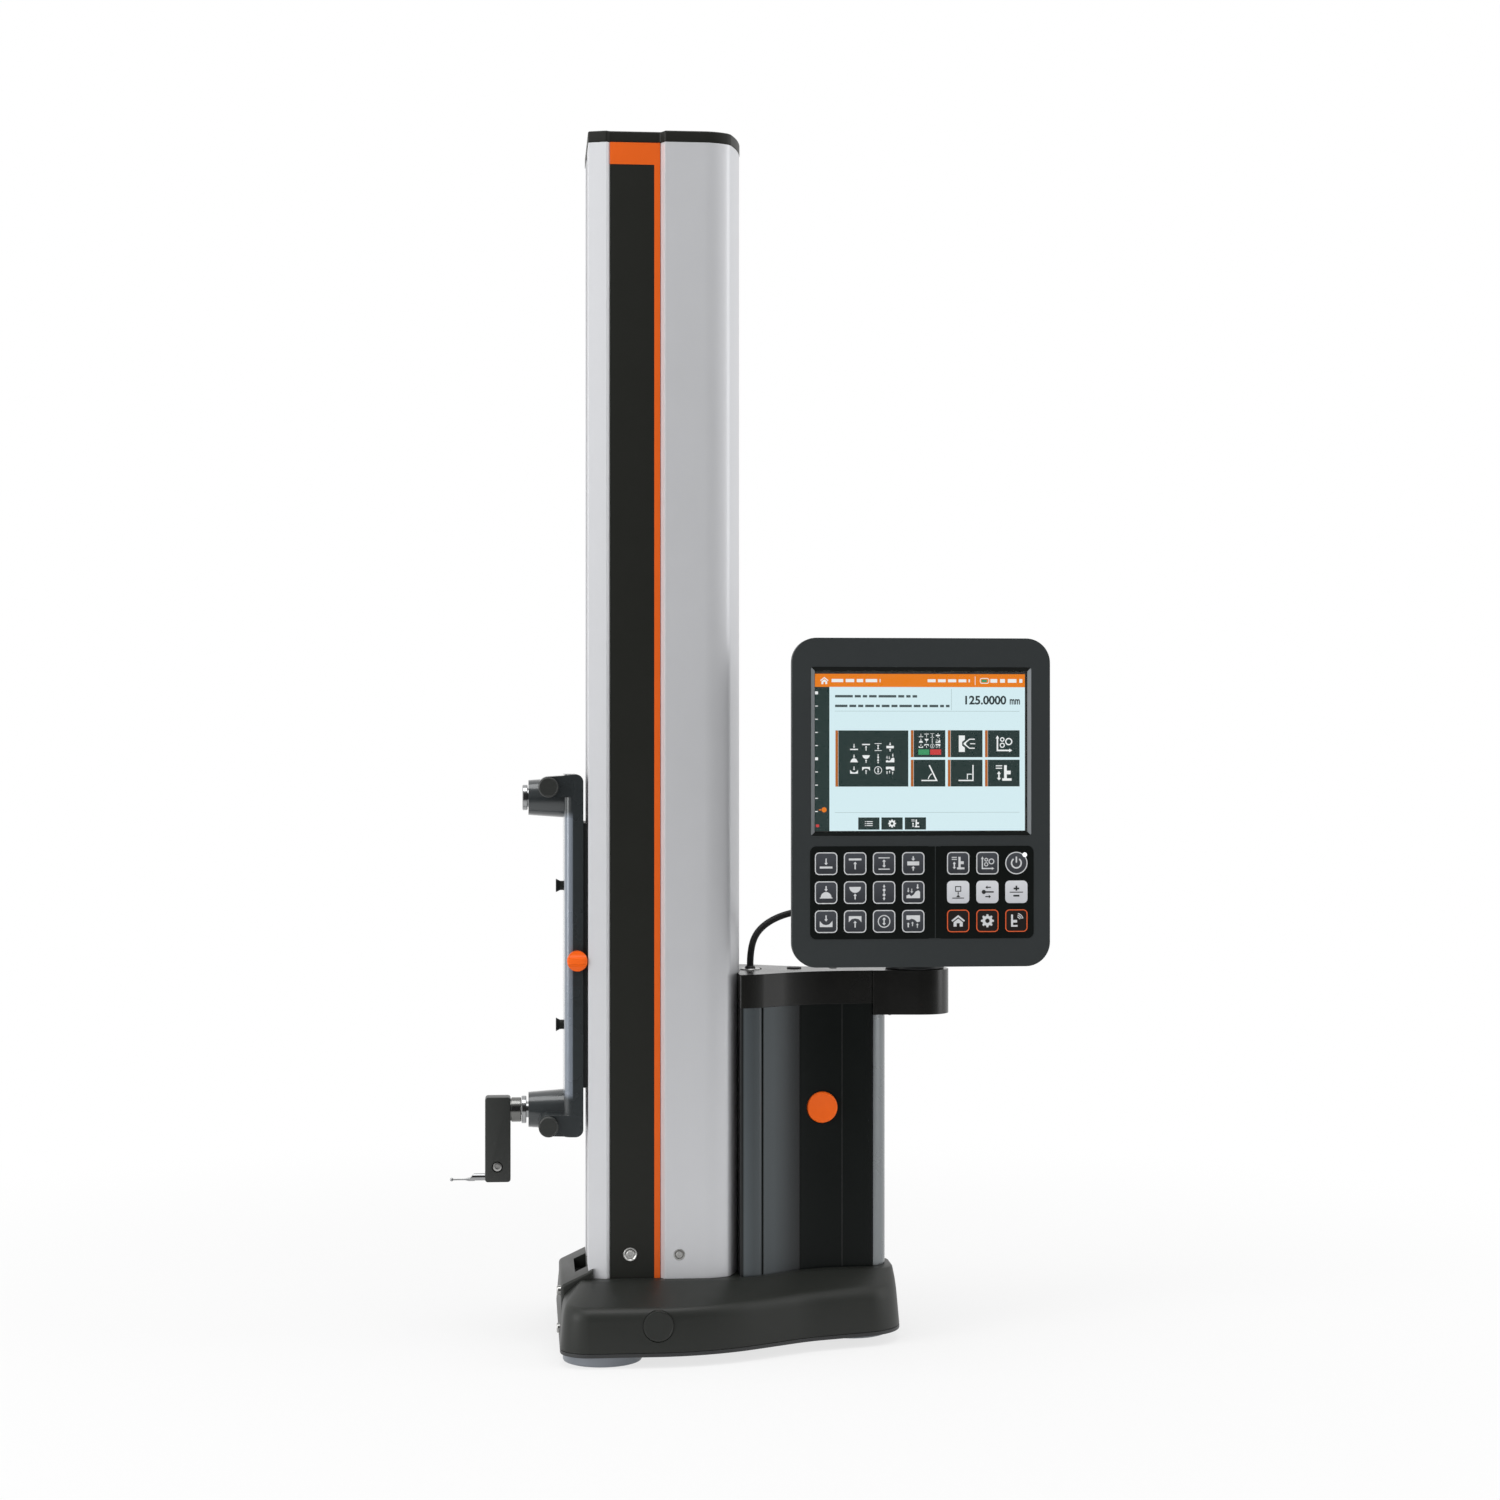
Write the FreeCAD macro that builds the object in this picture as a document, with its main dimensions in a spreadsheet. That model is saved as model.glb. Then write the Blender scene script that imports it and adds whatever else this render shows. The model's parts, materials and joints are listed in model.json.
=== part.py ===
import FreeCAD, Part
import math
import os
from types import SimpleNamespace

import Sketcher

# Height gauge: a column on a three-footed base, a slider with a probe, a grip and a swivelling display.
# Origin on the surface plate under the column's axis. +X runs from the probe side to the grip,
# -Y is the side with the button, +Z is up. Millimetres.

V = FreeCAD.Vector
FACING = {
    "+x": V(1, 0, 0), "-x": V(-1, 0, 0), "+y": V(0, 1, 0),
    "-y": V(0, -1, 0), "+z": V(0, 0, 1), "-z": V(0, 0, -1),
}
RIGHT, LEFT = -1, 1
PAST = 1.0  # how far a cutting tool runs past the face that it opens

SIZES = {
    # Fits and running gaps
    "shaft_fit": 0.05, "running_gap": 0.3, "plug_groove": 0.2,
    # Feet and base
    "foot_radius": 32.0, "foot_height": 9.0, "foot_edge": 1.2, "foot_stud_radius": 6.0,
    "foot_stud_length": 18.0, "foot_boss_radius": 14.0,
    "front_foot_inset": 34.5, "side_foot_inset": 38.0, "rear_foot_inset": 38.0,
    "base_plate_thickness": 3.0, "base_wall": 8.0, "base_cavity_top": 42.0,
    "base_crease_height": 45.6, "base_top_height": 58.4,
    "base_front": 88.0, "base_half_width": 124.0, "base_front_round": 24.0,
    "base_waist_start": 31.0, "base_side_round": 173.0,
    "base_tail_start": 115.3, "base_tail_half": 78.8, "base_inner_round": 120.0,
    "base_rear": 197.0, "base_rear_half": 54.5, "base_rear_round": 40.0,
    "base_draft": 3.0,
    "top_front": 70.0, "top_half_width": 66.0, "top_front_round": 10.0,
    "top_waist_start": 62.0, "top_side_round": 50.0,
    "top_tail_start": 118.0, "top_tail_half": 34.0,
    "top_rear": 193.0, "top_rear_half": 27.0, "top_rear_round": 20.0,
    "block_front": 86.5, "block_half_width": 58.0, "block_bottom": 30.0,
    "block_front_height": 54.0, "block_rear_height": 66.4,
    "plug_radius": 12.25, "plug_x": 10.0, "plug_z": 33.0, "plug_length": 5.0, "plug_sink": 1.2,
    "front_screw_y": 50.0, "front_screw_low": 18.0, "front_screw_high": 48.5,
    "front_screw_head_radius": 4.0, "front_screw_head": 3.4, "front_screw_radius": 2.5,
    "front_screw_length": 12.0, "front_screw_seat": 0.5,
    # Pieces inside the base
    "battery_length": 84.0, "battery_half_width": 50.0, "battery_height": 24.0, "battery_x": 18.0,
    "pump_radius": 13.0, "pump_half_length": 30.0, "pump_x": 50.0,
    # Column: covers, strips and cap
    "column_length": 932.2, "column_front": 64.0, "column_back": 64.0, "cover_wall": 3.0,
    "slot_half": 12.0, "facet_front_half": 51.3, "facet_rear": 49.2, "facet_rear_half": 55.8,
    "bed_front": 46.5, "bed_rear": 5.0, "bed_half": 54.0, "flat_start": 1.5, "side_half": 60.0,
    "shoulder_x": 39.5, "shoulder_round": 34.0, "hip_x": 52.6, "hip_half": 52.8, "hip_round": 10.0,
    "spine_half": 23.1, "spine_round": 120.0,
    "label_rear": 10.0, "label_thickness": 0.8, "strip_clearance": 0.1,
    "trim_thickness": 1.0, "trim_block_height": 18.0,
    "cap_thickness": 9.4, "cap_overhang": 0.3,
    "cover_screw_height": 19.6, "label_screw_x": 29.8, "side_screw_x": 10.4,
    "label_screw_radius": 5.7, "side_screw_radius": 4.6, "cover_screw_head": 1.6,
    "cover_screw_stem": 2.0, "cover_screw_sink": 2.0, "cover_screw_grip": 4.0,
    # Column core, rail, scale and drive
    "core_front": 44.0, "core_back": 42.0, "core_wall": 6.0, "core_web_x": 30.0,
    "core_window_bottom": 67.6, "core_window_top": 53.6,
    "rail_half_width": 8.0, "rail_depth": 12.0,
    "scale_thickness": 1.5, "scale_inner": 17.0, "scale_outer": 29.0, "scale_gap": 0.5,
    "pulley_x": 34.0, "pulley_radius": 22.0, "pulley_half_width": 5.2, "flange_radius": 24.5,
    "flange_thickness": 1.0, "top_pulley_drop": 27.6, "drive_pulley_rise": 39.6,
    "top_shaft_radius": 4.0, "drive_shaft_radius": 3.0, "drive_shaft_length": 24.0,
    "belt_thickness": 1.5, "belt_half_width": 5.0, "belt_slot_gap": 0.5,
    "motor_radius": 20.0, "motor_front": 12.0,
    # Counterweight
    "weight_front": 18.0, "weight_back": 30.0, "weight_half_width": 38.0, "weight_length": 85.0,
    "weight_drop": 150.6,
    # Slider
    "slider_center": 322.4, "carriage_half_length": 95.0, "carriage_front": 54.0,
    "carriage_plate": 6.0, "carriage_half_width": 30.0, "neck_half_width": 10.0,
    "guide_block_length": 45.0, "guide_block_half_width": 16.0, "guide_block_rear": 32.0,
    "encoder_half_length": 20.0, "encoder_inner": 18.0, "encoder_outer": 28.0,
    "back_plate_half_length": 109.2, "back_plate_half_width": 40.0, "back_plate_thickness": 3.4,
    "slider_gap": 0.4, "bar_thickness": 15.6, "bar_half_width": 42.0, "bar_half_length": 149.6,
    "bar_front_round": 6.0, "bar_rear_round": 6.5, "bar_end_gap": 0.4,
    "arm_spacing": 261.5, "arm_lift": -0.95, "arm_tip": 112.8, "arm_root": 76.0,
    "arm_tip_radius": 14.65, "arm_root_radius": 17.4,
    "socket_radius": 4.5, "socket_end": 80.0,
    "upper_ring_tip": 117.8, "upper_ring_back": 113.6, "upper_ring_radius": 10.65, "upper_neck_radius": 8.0,
    "lower_ring_tip": 118.6, "lower_ring_back": 114.6, "lower_ring_radius": 11.5, "lower_neck_radius": 6.7,
    "clamp_x": 96.5, "upper_clamp_offset": 9.1, "lower_clamp_offset": 8.3, "clamp_lug_margin": 8.3,
    "clamp_lug_rear": 12.0, "clamp_lug_root": 72.0, "clamp_knob_radius": 8.2, "clamp_knob_length": 9.0,
    "knob_edge": 1.2,
    "clamp_screw_radius": 2.5, "clamp_screw_reach": 10.0,
    "peg_spacing": 116.6, "peg_drop": 2.35, "peg_length": 6.5, "peg_sink": 5.0,
    "peg_head_radius": 5.7, "peg_neck_radius": 3.95, "peg_flare": 3.3,
    "lock_knob_x": 73.0, "lock_knob_drop": 3.9, "lock_knob_radius": 8.4, "lock_knob_length": 12.4,
    "lock_knob_round": 2.5, "lock_screw_radius": 3.0, "lock_screw_length": 17.0,
    # Probe
    "holder_front": 148.9, "holder_rear": 127.7, "holder_top": 202.0, "holder_bottom": 131.3,
    "holder_half_depth": 9.0, "holder_round": 3.0, "stem_end": 84.0, "collar_radius": 10.25,
    "holder_screw_x": 138.7, "holder_screw_z": 144.0, "holder_screw_radius": 4.0,
    "holder_screw_head": 4.0, "holder_screw_stem": 2.0, "holder_screw_length": 11.0,
    "shank_radius": 3.0, "shank_tip": 162.3, "shank_root": 140.0, "shank_z": 134.6,
    "taper_tip": 165.3, "taper_radius": 1.5, "stylus_radius": 0.7, "ball_radius": 1.5,
    "ball_x": 176.8, "ball_z": 132.7,
    # Grip and head
    "grip_front": 60.3, "grip_front_half": 56.5, "grip_front_round": 2.0,
    "grip_waist_x": 73.4, "grip_waist_half": 54.5, "grip_waist_round": 45.0,
    "grip_neck_x": 124.7, "grip_neck_half": 21.2, "grip_neck_round": 110.0,
    "grip_rear": 188.0, "grip_rear_round": 20.0, "grip_wall": 3.0, "shell_web_half": 40.0,
    "head_bottom": 279.1, "head_top": 306.8, "head_tail_bottom": 269.5, "head_rear": 242.5,
    "head_tail_half": 24.0, "panel_front": 113.0, "panel_rear": 175.7, "panel_seam": 0.4,
    "frame_front": 80.0, "frame_rear": 165.0, "frame_half_width": 15.0, "frame_wall": 3.0,
    "button_x": 132.0, "button_z": 193.0, "button_radius": 13.0, "button_face": 27.0,
    "button_thickness": 7.0, "button_edge": 1.5, "button_stem_radius": 3.0, "button_stem_length": 13.0,
    "button_travel": 2.0, "spring_radius": 5.0, "spring_wire": 0.6,
    "gland_x": 73.8, "gland_radius": 4.5, "gland_height": 3.0, "cable_radius": 2.85,
    # Swivel, bracket and display
    "swivel_x": 214.0, "disc_radius": 25.0, "disc_thickness": 5.0, "swivel_stem_radius": 8.0,
    "swivel_nut_radius": 13.0, "swivel_nut_height": 5.0,
    "bracket_half_width": 20.0, "bracket_foot_half": 18.0, "bracket_foot_depth": 14.0,
    "bracket_foot": 4.0,
    "upright_front": 1.0, "upright_rear": 9.0, "upright_top": 375.0,
    "tilt_y": 25.0, "tilt_z": 365.0, "ear_thickness": 4.0, "ear_radius": 9.0,
    "pin_radius": 4.0, "pin_overhang": 2.0, "inlet_length": 4.0, "inlet_radius": 5.0,
    "inlet_y": 4.0, "inlet_z": 350.0,
    "display_x": 207.0, "display_bottom": 314.7, "display_width": 212.8, "display_height": 268.8,
    "display_front": 85.0, "display_split": 75.0, "display_back": 42.0, "display_round": 20.0,
    "display_wall": 3.0, "bezel_rim": 6.5, "case_inset": 5.0,
    "window_side": 15.4, "window_gap": 8.4, "window_head": 23.7, "glass_setback": 1.8,
    "glass_thickness": 1.5, "lcd_thickness": 7.0, "lcd_margin": 2.0,
    "keys_bottom": 23.1, "keys_top": 98.8, "left_keys_start": 14.8, "left_keys_end": 115.8,
    "keys_split": 2.5, "right_keys_side": 13.7, "keys_round": 5.0,
    "keys_thickness": 0.6, "keys_sink": 0.3,
    "board_front": 71.0, "board_thickness": 1.6, "board_margin": 14.0,
    "post_inset": 20.0, "post_radius": 4.5, "case_screw_radius": 1.5, "case_screw_head_radius": 3.0,
    "case_screw_head": 2.0, "case_screw_length": 18.0,
}


class Size:
    """A length with its number and the formula over the sheet's cells that gives it."""

    def __init__(self, value, formula):
        self.value = value
        self.formula = formula

    def __add__(self, other):
        other = as_size(other)
        return Size(self.value + other.value, f"({self.formula} + {other.formula})")

    def __sub__(self, other):
        other = as_size(other)
        return Size(self.value - other.value, f"({self.formula} - {other.formula})")

    def __mul__(self, other):
        other = as_size(other)
        return Size(self.value * other.value, f"({self.formula} * {other.formula})")

    def __truediv__(self, other):
        other = as_size(other)
        return Size(self.value / other.value, f"({self.formula} / {other.formula})")

    def __neg__(self):
        return 0 - self

    def __radd__(self, other):
        return as_size(other) + self

    def __rsub__(self, other):
        return as_size(other) - self

    def __rmul__(self, other):
        return as_size(other) * self


def as_size(thing):
    if isinstance(thing, Size):
        return thing
    return Size(float(thing), f"({float(thing)!r})")


doc = FreeCAD.newDocument("height_gauge")
sheet = doc.addObject("Spreadsheet::Sheet", "dims")
for row, (name, value) in enumerate(SIZES.items(), start=1):
    sheet.set(f"A{row}", name.replace("_", " "))
    sheet.set(f"B{row}", str(value))
    sheet.setAlias(f"B{row}", name)
doc.recompute()
d = SimpleNamespace(**{name: Size(value, "dims." + name) for name, value in SIZES.items()})
nodes = []


def bind(thing, prop, size):
    thing.setExpression(prop, as_size(size).formula)


def place(thing, at, facing="+z"):
    thing.Placement = FreeCAD.Placement(V(0, 0, 0), FreeCAD.Rotation(V(0, 0, 1), FACING[facing]))
    for axis, size in zip("xyz", at):
        bind(thing, "Placement.Base." + axis, size)


def node(name, thing):
    thing.Label = name
    nodes.append(thing)
    return thing


# Plain solids and their combinations


def box(name, x, y, z):
    """A block between a low and a high value along each axis."""
    piece = doc.addObject("Part::Box", name)
    for prop, (low, high) in zip(("Length", "Width", "Height"), (x, y, z)):
        bind(piece, prop, high - low)
    place(piece, (x[0], y[0], z[0]))
    return piece


def rod(name, radius, at, length, facing="+z"):
    piece = doc.addObject("Part::Cylinder", name)
    bind(piece, "Radius", radius)
    bind(piece, "Height", length)
    place(piece, at, facing)
    return piece


def cone(name, radius, end_radius, at, length, facing="+z"):
    piece = doc.addObject("Part::Cone", name)
    bind(piece, "Radius1", radius)
    bind(piece, "Radius2", end_radius)
    bind(piece, "Height", length)
    place(piece, at, facing)
    return piece


def fuse(name, pieces):
    whole = doc.addObject("Part::MultiFuse", name)
    whole.Shapes = pieces
    return whole


def common(name, pieces):
    whole = doc.addObject("Part::MultiCommon", name)
    whole.Shapes = pieces
    return whole


def group(name, pieces):
    whole = doc.addObject("Part::Compound", name)
    whole.Links = pieces
    return whole


def cut(name, base, tools):
    whole = doc.addObject("Part::Cut", name)
    whole.Base = base
    whole.Tool = tools[0] if len(tools) == 1 else fuse(name + "_tools", tools)
    return whole


# Sketched solids


def new_sketch(body, plane, offset):
    sketch = body.newObject("Sketcher::SketchObject", body.Name + "_sketch")
    role = plane + "_Plane"
    support = [feature for feature in body.Origin.OriginFeatures if feature.Role == role][0]
    sketch.AttachmentSupport = [(support, "")]
    sketch.MapMode = "FlatFace"
    bind(sketch, "AttachmentOffset.Base.z", offset)
    return sketch


def fix_point(sketch, geometry, end, corner):
    for kind, size in zip(("DistanceX", "DistanceY"), corner):
        size = as_size(size)
        index = sketch.addConstraint(Sketcher.Constraint(kind, -1, 1, geometry, end, size.value))
        bind(sketch, f"Constraints[{index}]", size)


def rounding(spot, before, after, radius):
    """The arc that rounds a corner, its ends, and which of its ends meets the line before it."""
    back = (before - spot).normalize()
    ahead = (after - spot).normalize()
    half = back.getAngle(ahead) / 2
    first = spot + back * (radius / math.tan(half))
    last = spot + ahead * (radius / math.tan(half))
    middle = spot + (back + ahead).normalize() * (radius / math.sin(half))
    turns_left = back.cross(ahead).z < 0
    ends = (first, last) if turns_left else (last, first)
    angles = [math.atan2(end.y - middle.y, end.x - middle.x) for end in ends]
    circle = Part.Circle(middle, V(0, 0, 1), radius)
    return Part.ArcOfCircle(circle, *angles), first, last, 1 if turns_left else 2


def add_loop(sketch, corners):
    """A closed outline through corners (x, y), or (x, y, radius) where a corner is rounded."""
    spots = [V(as_size(corner[0]).value, as_size(corner[1]).value, 0) for corner in corners]
    count = len(corners)
    arcs = []
    for index, corner in enumerate(corners):
        arc = None
        if len(corner) == 3:
            after = spots[(index + 1) % count]
            arc = rounding(spots[index], spots[index - 1], after, as_size(corner[2]).value)
        arcs.append(arc)
    lines = []
    for index in range(count):
        following = (index + 1) % count
        start = arcs[index][2] if arcs[index] else spots[index]
        end = arcs[following][1] if arcs[following] else spots[following]
        lines.append(sketch.addGeometry(Part.LineSegment(start, end), False))
    for index, corner in enumerate(corners):
        before, after = lines[index - 1], lines[index]
        if arcs[index] is None:
            sketch.addConstraint(Sketcher.Constraint("Coincident", before, 2, after, 1))
            fix_point(sketch, after, 1, corner)
            continue
        shape, _, _, entry = arcs[index]
        arc = sketch.addGeometry(shape, False)
        point = sketch.addGeometry(Part.Point(spots[index]), True)
        fix_point(sketch, point, 1, corner)
        sketch.addConstraint([
            Sketcher.Constraint("Tangent", before, 2, arc, entry),
            Sketcher.Constraint("Tangent", after, 1, arc, 3 - entry),
            Sketcher.Constraint("PointOnObject", point, 1, before),
            Sketcher.Constraint("PointOnObject", point, 1, after),
        ])
        radius = as_size(corner[2])
        size_index = sketch.addConstraint(Sketcher.Constraint("Radius", arc, radius.value))
        bind(sketch, f"Constraints[{size_index}]", radius)


def prism(name, plane, loops, low, high):
    """A straight solid with the loops as its section, from low to high along the axis across the plane."""
    body = doc.addObject("PartDesign::Body", name)
    sketch = new_sketch(body, plane, 0 - high if plane == "XZ" else low)
    for corners in loops:
        add_loop(sketch, corners)
    pad = body.newObject("PartDesign::Pad", name + "_pad")
    pad.Profile = sketch
    bind(pad, "Length", high - low)
    return body


def lofted(name, layers):
    """A solid whose straight sides join outlines at given heights."""
    body = doc.addObject("PartDesign::Body", name)
    sketches = []
    for height, corners in layers:
        sketch = new_sketch(body, "XY", height)
        add_loop(sketch, corners)
        sketches.append(sketch)
    loft = body.newObject("PartDesign::AdditiveLoft", name + "_loft")
    loft.Profile = sketches[0]
    loft.Sections = sketches[1:]
    loft.Ruled = True
    return body


def turned(name, corners, at, facing="+z"):
    """A round solid; its corners are (radius, height) along the way it faces."""
    body = doc.addObject("PartDesign::Body", name)
    sketch = new_sketch(body, "XZ", 0)
    add_loop(sketch, corners)
    revolution = body.newObject("PartDesign::Revolution", name + "_turn")
    revolution.Profile = sketch
    revolution.ReferenceAxis = (sketch, ["V_Axis"])
    revolution.Angle = 360
    place(body, at, facing)
    return body


def mirrored(half):
    """A closed outline from its right half, given from front to rear with y below zero."""
    other = [(corner[0], 0 - corner[1], *corner[2:]) for corner in reversed(half)]
    return half + other


def rectangle(x, y, radius=None):
    """A rectangle between two values each way, with its corners rounded if a radius is given."""
    spots = [(x[0], y[0]), (x[1], y[0]), (x[1], y[1]), (x[0], y[1])]
    return [spot + (radius,) for spot in spots] if radius is not None else spots


# Heights and places that several sub-parts share

cavity_floor = d.foot_height + d.base_plate_thickness
plug_face = d.base_half_width - d.plug_sink
column_top = d.base_top_height + d.column_length
window_bottom = d.base_top_height + d.core_window_bottom
window_top = column_top - d.core_window_top
web_front = -d.core_web_x
core_half = d.bed_half - d.cover_wall
rail_front = web_front - d.rail_depth
top_pulley_z = column_top - d.top_pulley_drop
drive_pulley_z = d.base_top_height + d.drive_pulley_rise
belt_inner = d.pulley_radius + d.running_gap
belt_outer = belt_inner + d.belt_thickness
slider_face = 0 - d.column_front - d.slider_gap
plate_face = slider_face - d.back_plate_thickness
bar_face = plate_face - d.bar_thickness
upper_arm_z = d.slider_center + d.arm_spacing / 2 + d.arm_lift
lower_arm_z = d.slider_center - d.arm_spacing / 2 + d.arm_lift
lock_z = d.slider_center - d.lock_knob_drop
display_side = d.display_x - d.display_width / 2
display_top = d.display_bottom + d.display_height


# Base and feet


def base_outline(inset):
    """The base's outline drawn in by an inset, with the stretches of its long double curve kept parallel."""
    return mirrored([
        (inset - d.base_front, inset - d.base_half_width, d.base_front_round - inset),
        (d.base_waist_start - inset * 0.25, inset - d.base_half_width, d.base_side_round - inset),
        (d.base_tail_start - inset * 0.2, inset * 1.08 - d.base_tail_half, d.base_inner_round + inset),
        (d.base_rear - inset, inset * 0.95 - d.base_rear_half, d.base_rear_round - inset),
    ])


def base_top_outline():
    return mirrored([
        (-d.top_front, -d.top_half_width, d.top_front_round),
        (d.top_waist_start, -d.top_half_width, d.top_side_round),
        (d.top_tail_start, -d.top_tail_half, d.top_side_round),
        (d.top_rear, -d.top_rear_half, d.top_rear_round),
    ])


def foot_places():
    front, side = d.front_foot_inset - d.base_front, d.base_half_width - d.side_foot_inset
    return {
        "front_foot_right": (front, 0 - side),
        "front_foot_left": (front, side),
        "rear_foot": (d.base_rear - d.rear_foot_inset, as_size(0)),
    }


def front_screw_places():
    return [(RIGHT * d.front_screw_y, z) for z in (d.front_screw_low, d.front_screw_high)]


def base_casting():
    body = lofted("base_form", [
        (cavity_floor, base_outline(as_size(0))),
        (d.base_crease_height, base_outline(d.base_draft)),
        (d.base_top_height, base_top_outline()),
    ])
    cavity = prism("base_cavity", "XY", [base_outline(d.base_wall)], cavity_floor, d.base_cavity_top)
    hollow = cut("base_hollow", body, [cavity])
    block = prism("base_block", "XZ", [[
        (-d.block_front, d.block_bottom), (-d.block_front, d.block_front_height),
        (-d.column_front, d.block_rear_height), (-d.column_front, d.block_bottom),
    ]], -d.block_half_width, d.block_half_width)
    bosses = [rod("base_boss", d.foot_boss_radius, (*place_xy, cavity_floor),
                  d.base_cavity_top - cavity_floor + PAST) for place_xy in foot_places().values()]
    solid = fuse("base_solid", [hollow, block, *bosses])
    bores = [rod("stud_bore", d.foot_stud_radius + d.shaft_fit, (*place_xy, d.foot_height),
                 d.foot_stud_length + PAST) for place_xy in foot_places().values()]
    for side, facing in ((RIGHT, "-y"), (LEFT, "+y")):
        start = plug_face - d.plug_length
        bores.append(rod("plug_bore", d.plug_radius + d.plug_groove,
                         (-d.plug_x, side * start, d.plug_z), 2 * d.plug_length, facing))
    seat = d.front_screw_seat - d.block_front
    for y, z in front_screw_places():
        bores.append(rod("screw_seat", d.front_screw_head_radius + d.front_screw_seat, (seat, y, z),
                         d.front_screw_head, "-x"))
        bores.append(rod("screw_bore", d.front_screw_radius + d.shaft_fit,
                         (seat + d.front_screw_length, y, z), d.front_screw_length + PAST, "-x"))
    node("base_casting", cut("base_casting", solid, bores))


def base_plate():
    plate = prism("base_plate_form", "XY", [base_outline(as_size(0))], d.foot_height, cavity_floor)
    bores = [rod("plate_bore", d.foot_stud_radius + d.shaft_fit, (*place_xy, d.foot_height - PAST),
                 d.base_plate_thickness + 2 * PAST) for place_xy in foot_places().values()]
    node("base_plate", cut("base_plate", plate, bores))


def feet():
    for name, (x, y) in foot_places().items():
        node(name, turned(name, [
            (0, 0), (d.foot_radius, 0, d.foot_edge), (d.foot_radius, d.foot_height),
            (d.foot_stud_radius, d.foot_height),
            (d.foot_stud_radius, d.foot_height + d.foot_stud_length), (0, d.foot_height + d.foot_stud_length),
        ], (x, y, 0)))


def side_plugs():
    plugs = [rod("side_plug", d.plug_radius, (-d.plug_x, side * (plug_face - d.plug_length), d.plug_z),
                 d.plug_length, facing) for side, facing in ((RIGHT, "-y"), (LEFT, "+y"))]
    node("side_plugs", group("side_plugs", plugs))


def front_screws():
    seat = d.front_screw_seat - d.block_front
    screws = []
    for y, z in front_screw_places():
        screws.append(turned("front_screw", [
            (0, -d.front_screw_length), (d.front_screw_radius, -d.front_screw_length),
            (d.front_screw_radius, 0), (d.front_screw_head_radius, 0),
            (d.front_screw_head_radius, d.front_screw_head + d.front_screw_seat),
            (0, d.front_screw_head + d.front_screw_seat),
        ], (seat, y, z), "-x"))
    node("front_screws", group("front_screws", screws))


def battery_pack():
    start = d.battery_x - d.battery_length / 2
    outline = rectangle((start, start + d.battery_length), (-d.battery_half_width, d.battery_half_width),
                        d.foot_edge)
    node("battery_pack", prism("battery_pack", "XY", [outline], cavity_floor, cavity_floor + d.battery_height))


def air_pump():
    center = cavity_floor + d.pump_radius
    barrel = rod("pump_barrel", d.pump_radius, (-d.pump_x, -d.pump_half_length, center),
                 2 * d.pump_half_length, "+y")
    saddle = box("pump_saddle", (-d.pump_x - d.pump_radius, -d.pump_x + d.pump_radius),
                 (-d.pump_half_length / 2, d.pump_half_length / 2), (cavity_floor, center))
    node("air_pump", fuse("air_pump", [barrel, saddle]))


# Column


def cover_wall_loop(side):
    """The section of one cover: its outer skin from the slot to the seam, and the inner skin back again."""
    wall = d.cover_wall
    outer = [
        (-d.column_front, d.slot_half), (-d.column_front, d.facet_front_half),
        (-d.facet_rear, d.facet_rear_half), (-d.bed_front, d.bed_half), (-d.bed_rear, d.bed_half),
        (-d.flat_start, d.side_half), (d.shoulder_x, d.side_half, d.shoulder_round),
        (d.hip_x, d.hip_half, d.hip_round), (d.column_back, d.spine_half, d.spine_round),
        (d.column_back, as_size(0)),
    ]
    inner = [
        (wall - d.column_front, d.slot_half), (wall - d.column_front, d.facet_front_half - wall * 0.73),
        (wall * 0.1 - d.facet_rear, d.facet_rear_half - wall * 1.07), (-d.bed_front, d.bed_half - wall),
        (wall * 0.57 - d.bed_rear, d.bed_half - wall), (wall * 0.57 - d.flat_start, d.side_half - wall),
        (d.shoulder_x - wall * 0.27, d.side_half - wall, d.shoulder_round - wall),
        (d.hip_x - wall * 0.87, d.hip_half - wall * 0.8, d.hip_round - wall),
        (d.column_back - wall, d.spine_half - wall * 0.2, d.spine_round - wall),
        (d.column_back - wall, as_size(0)),
    ]
    return [(corner[0], side * corner[1], *corner[2:]) for corner in outer + inner[::-1]]


def cover_screw_places():
    """Each screw's x, the y of the face it seats on, its head's radius and its depth below the skin."""
    return [
        (-d.label_screw_x, d.bed_half, d.label_screw_radius),
        (d.side_screw_x, d.side_half - d.cover_screw_sink, d.side_screw_radius),
    ]


def column_covers():
    height = d.base_top_height + d.cover_screw_height
    for name, side, facing in (("cover_right", RIGHT, "-y"), ("cover_left", LEFT, "+y")):
        shell = prism(name + "_form", "XY", [cover_wall_loop(side)], d.base_top_height, column_top)
        bores = []
        for x, seat, radius in cover_screw_places():
            bores.append(rod("cover_bore", d.cover_screw_stem + d.shaft_fit,
                             (x, side * (seat - d.core_wall), height), d.core_wall + PAST, facing))
            bores.append(rod("cover_sink", radius + d.strip_clearance, (x, side * seat, height),
                             d.core_wall, facing))
        node(name, cut(name, shell, bores))


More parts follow.
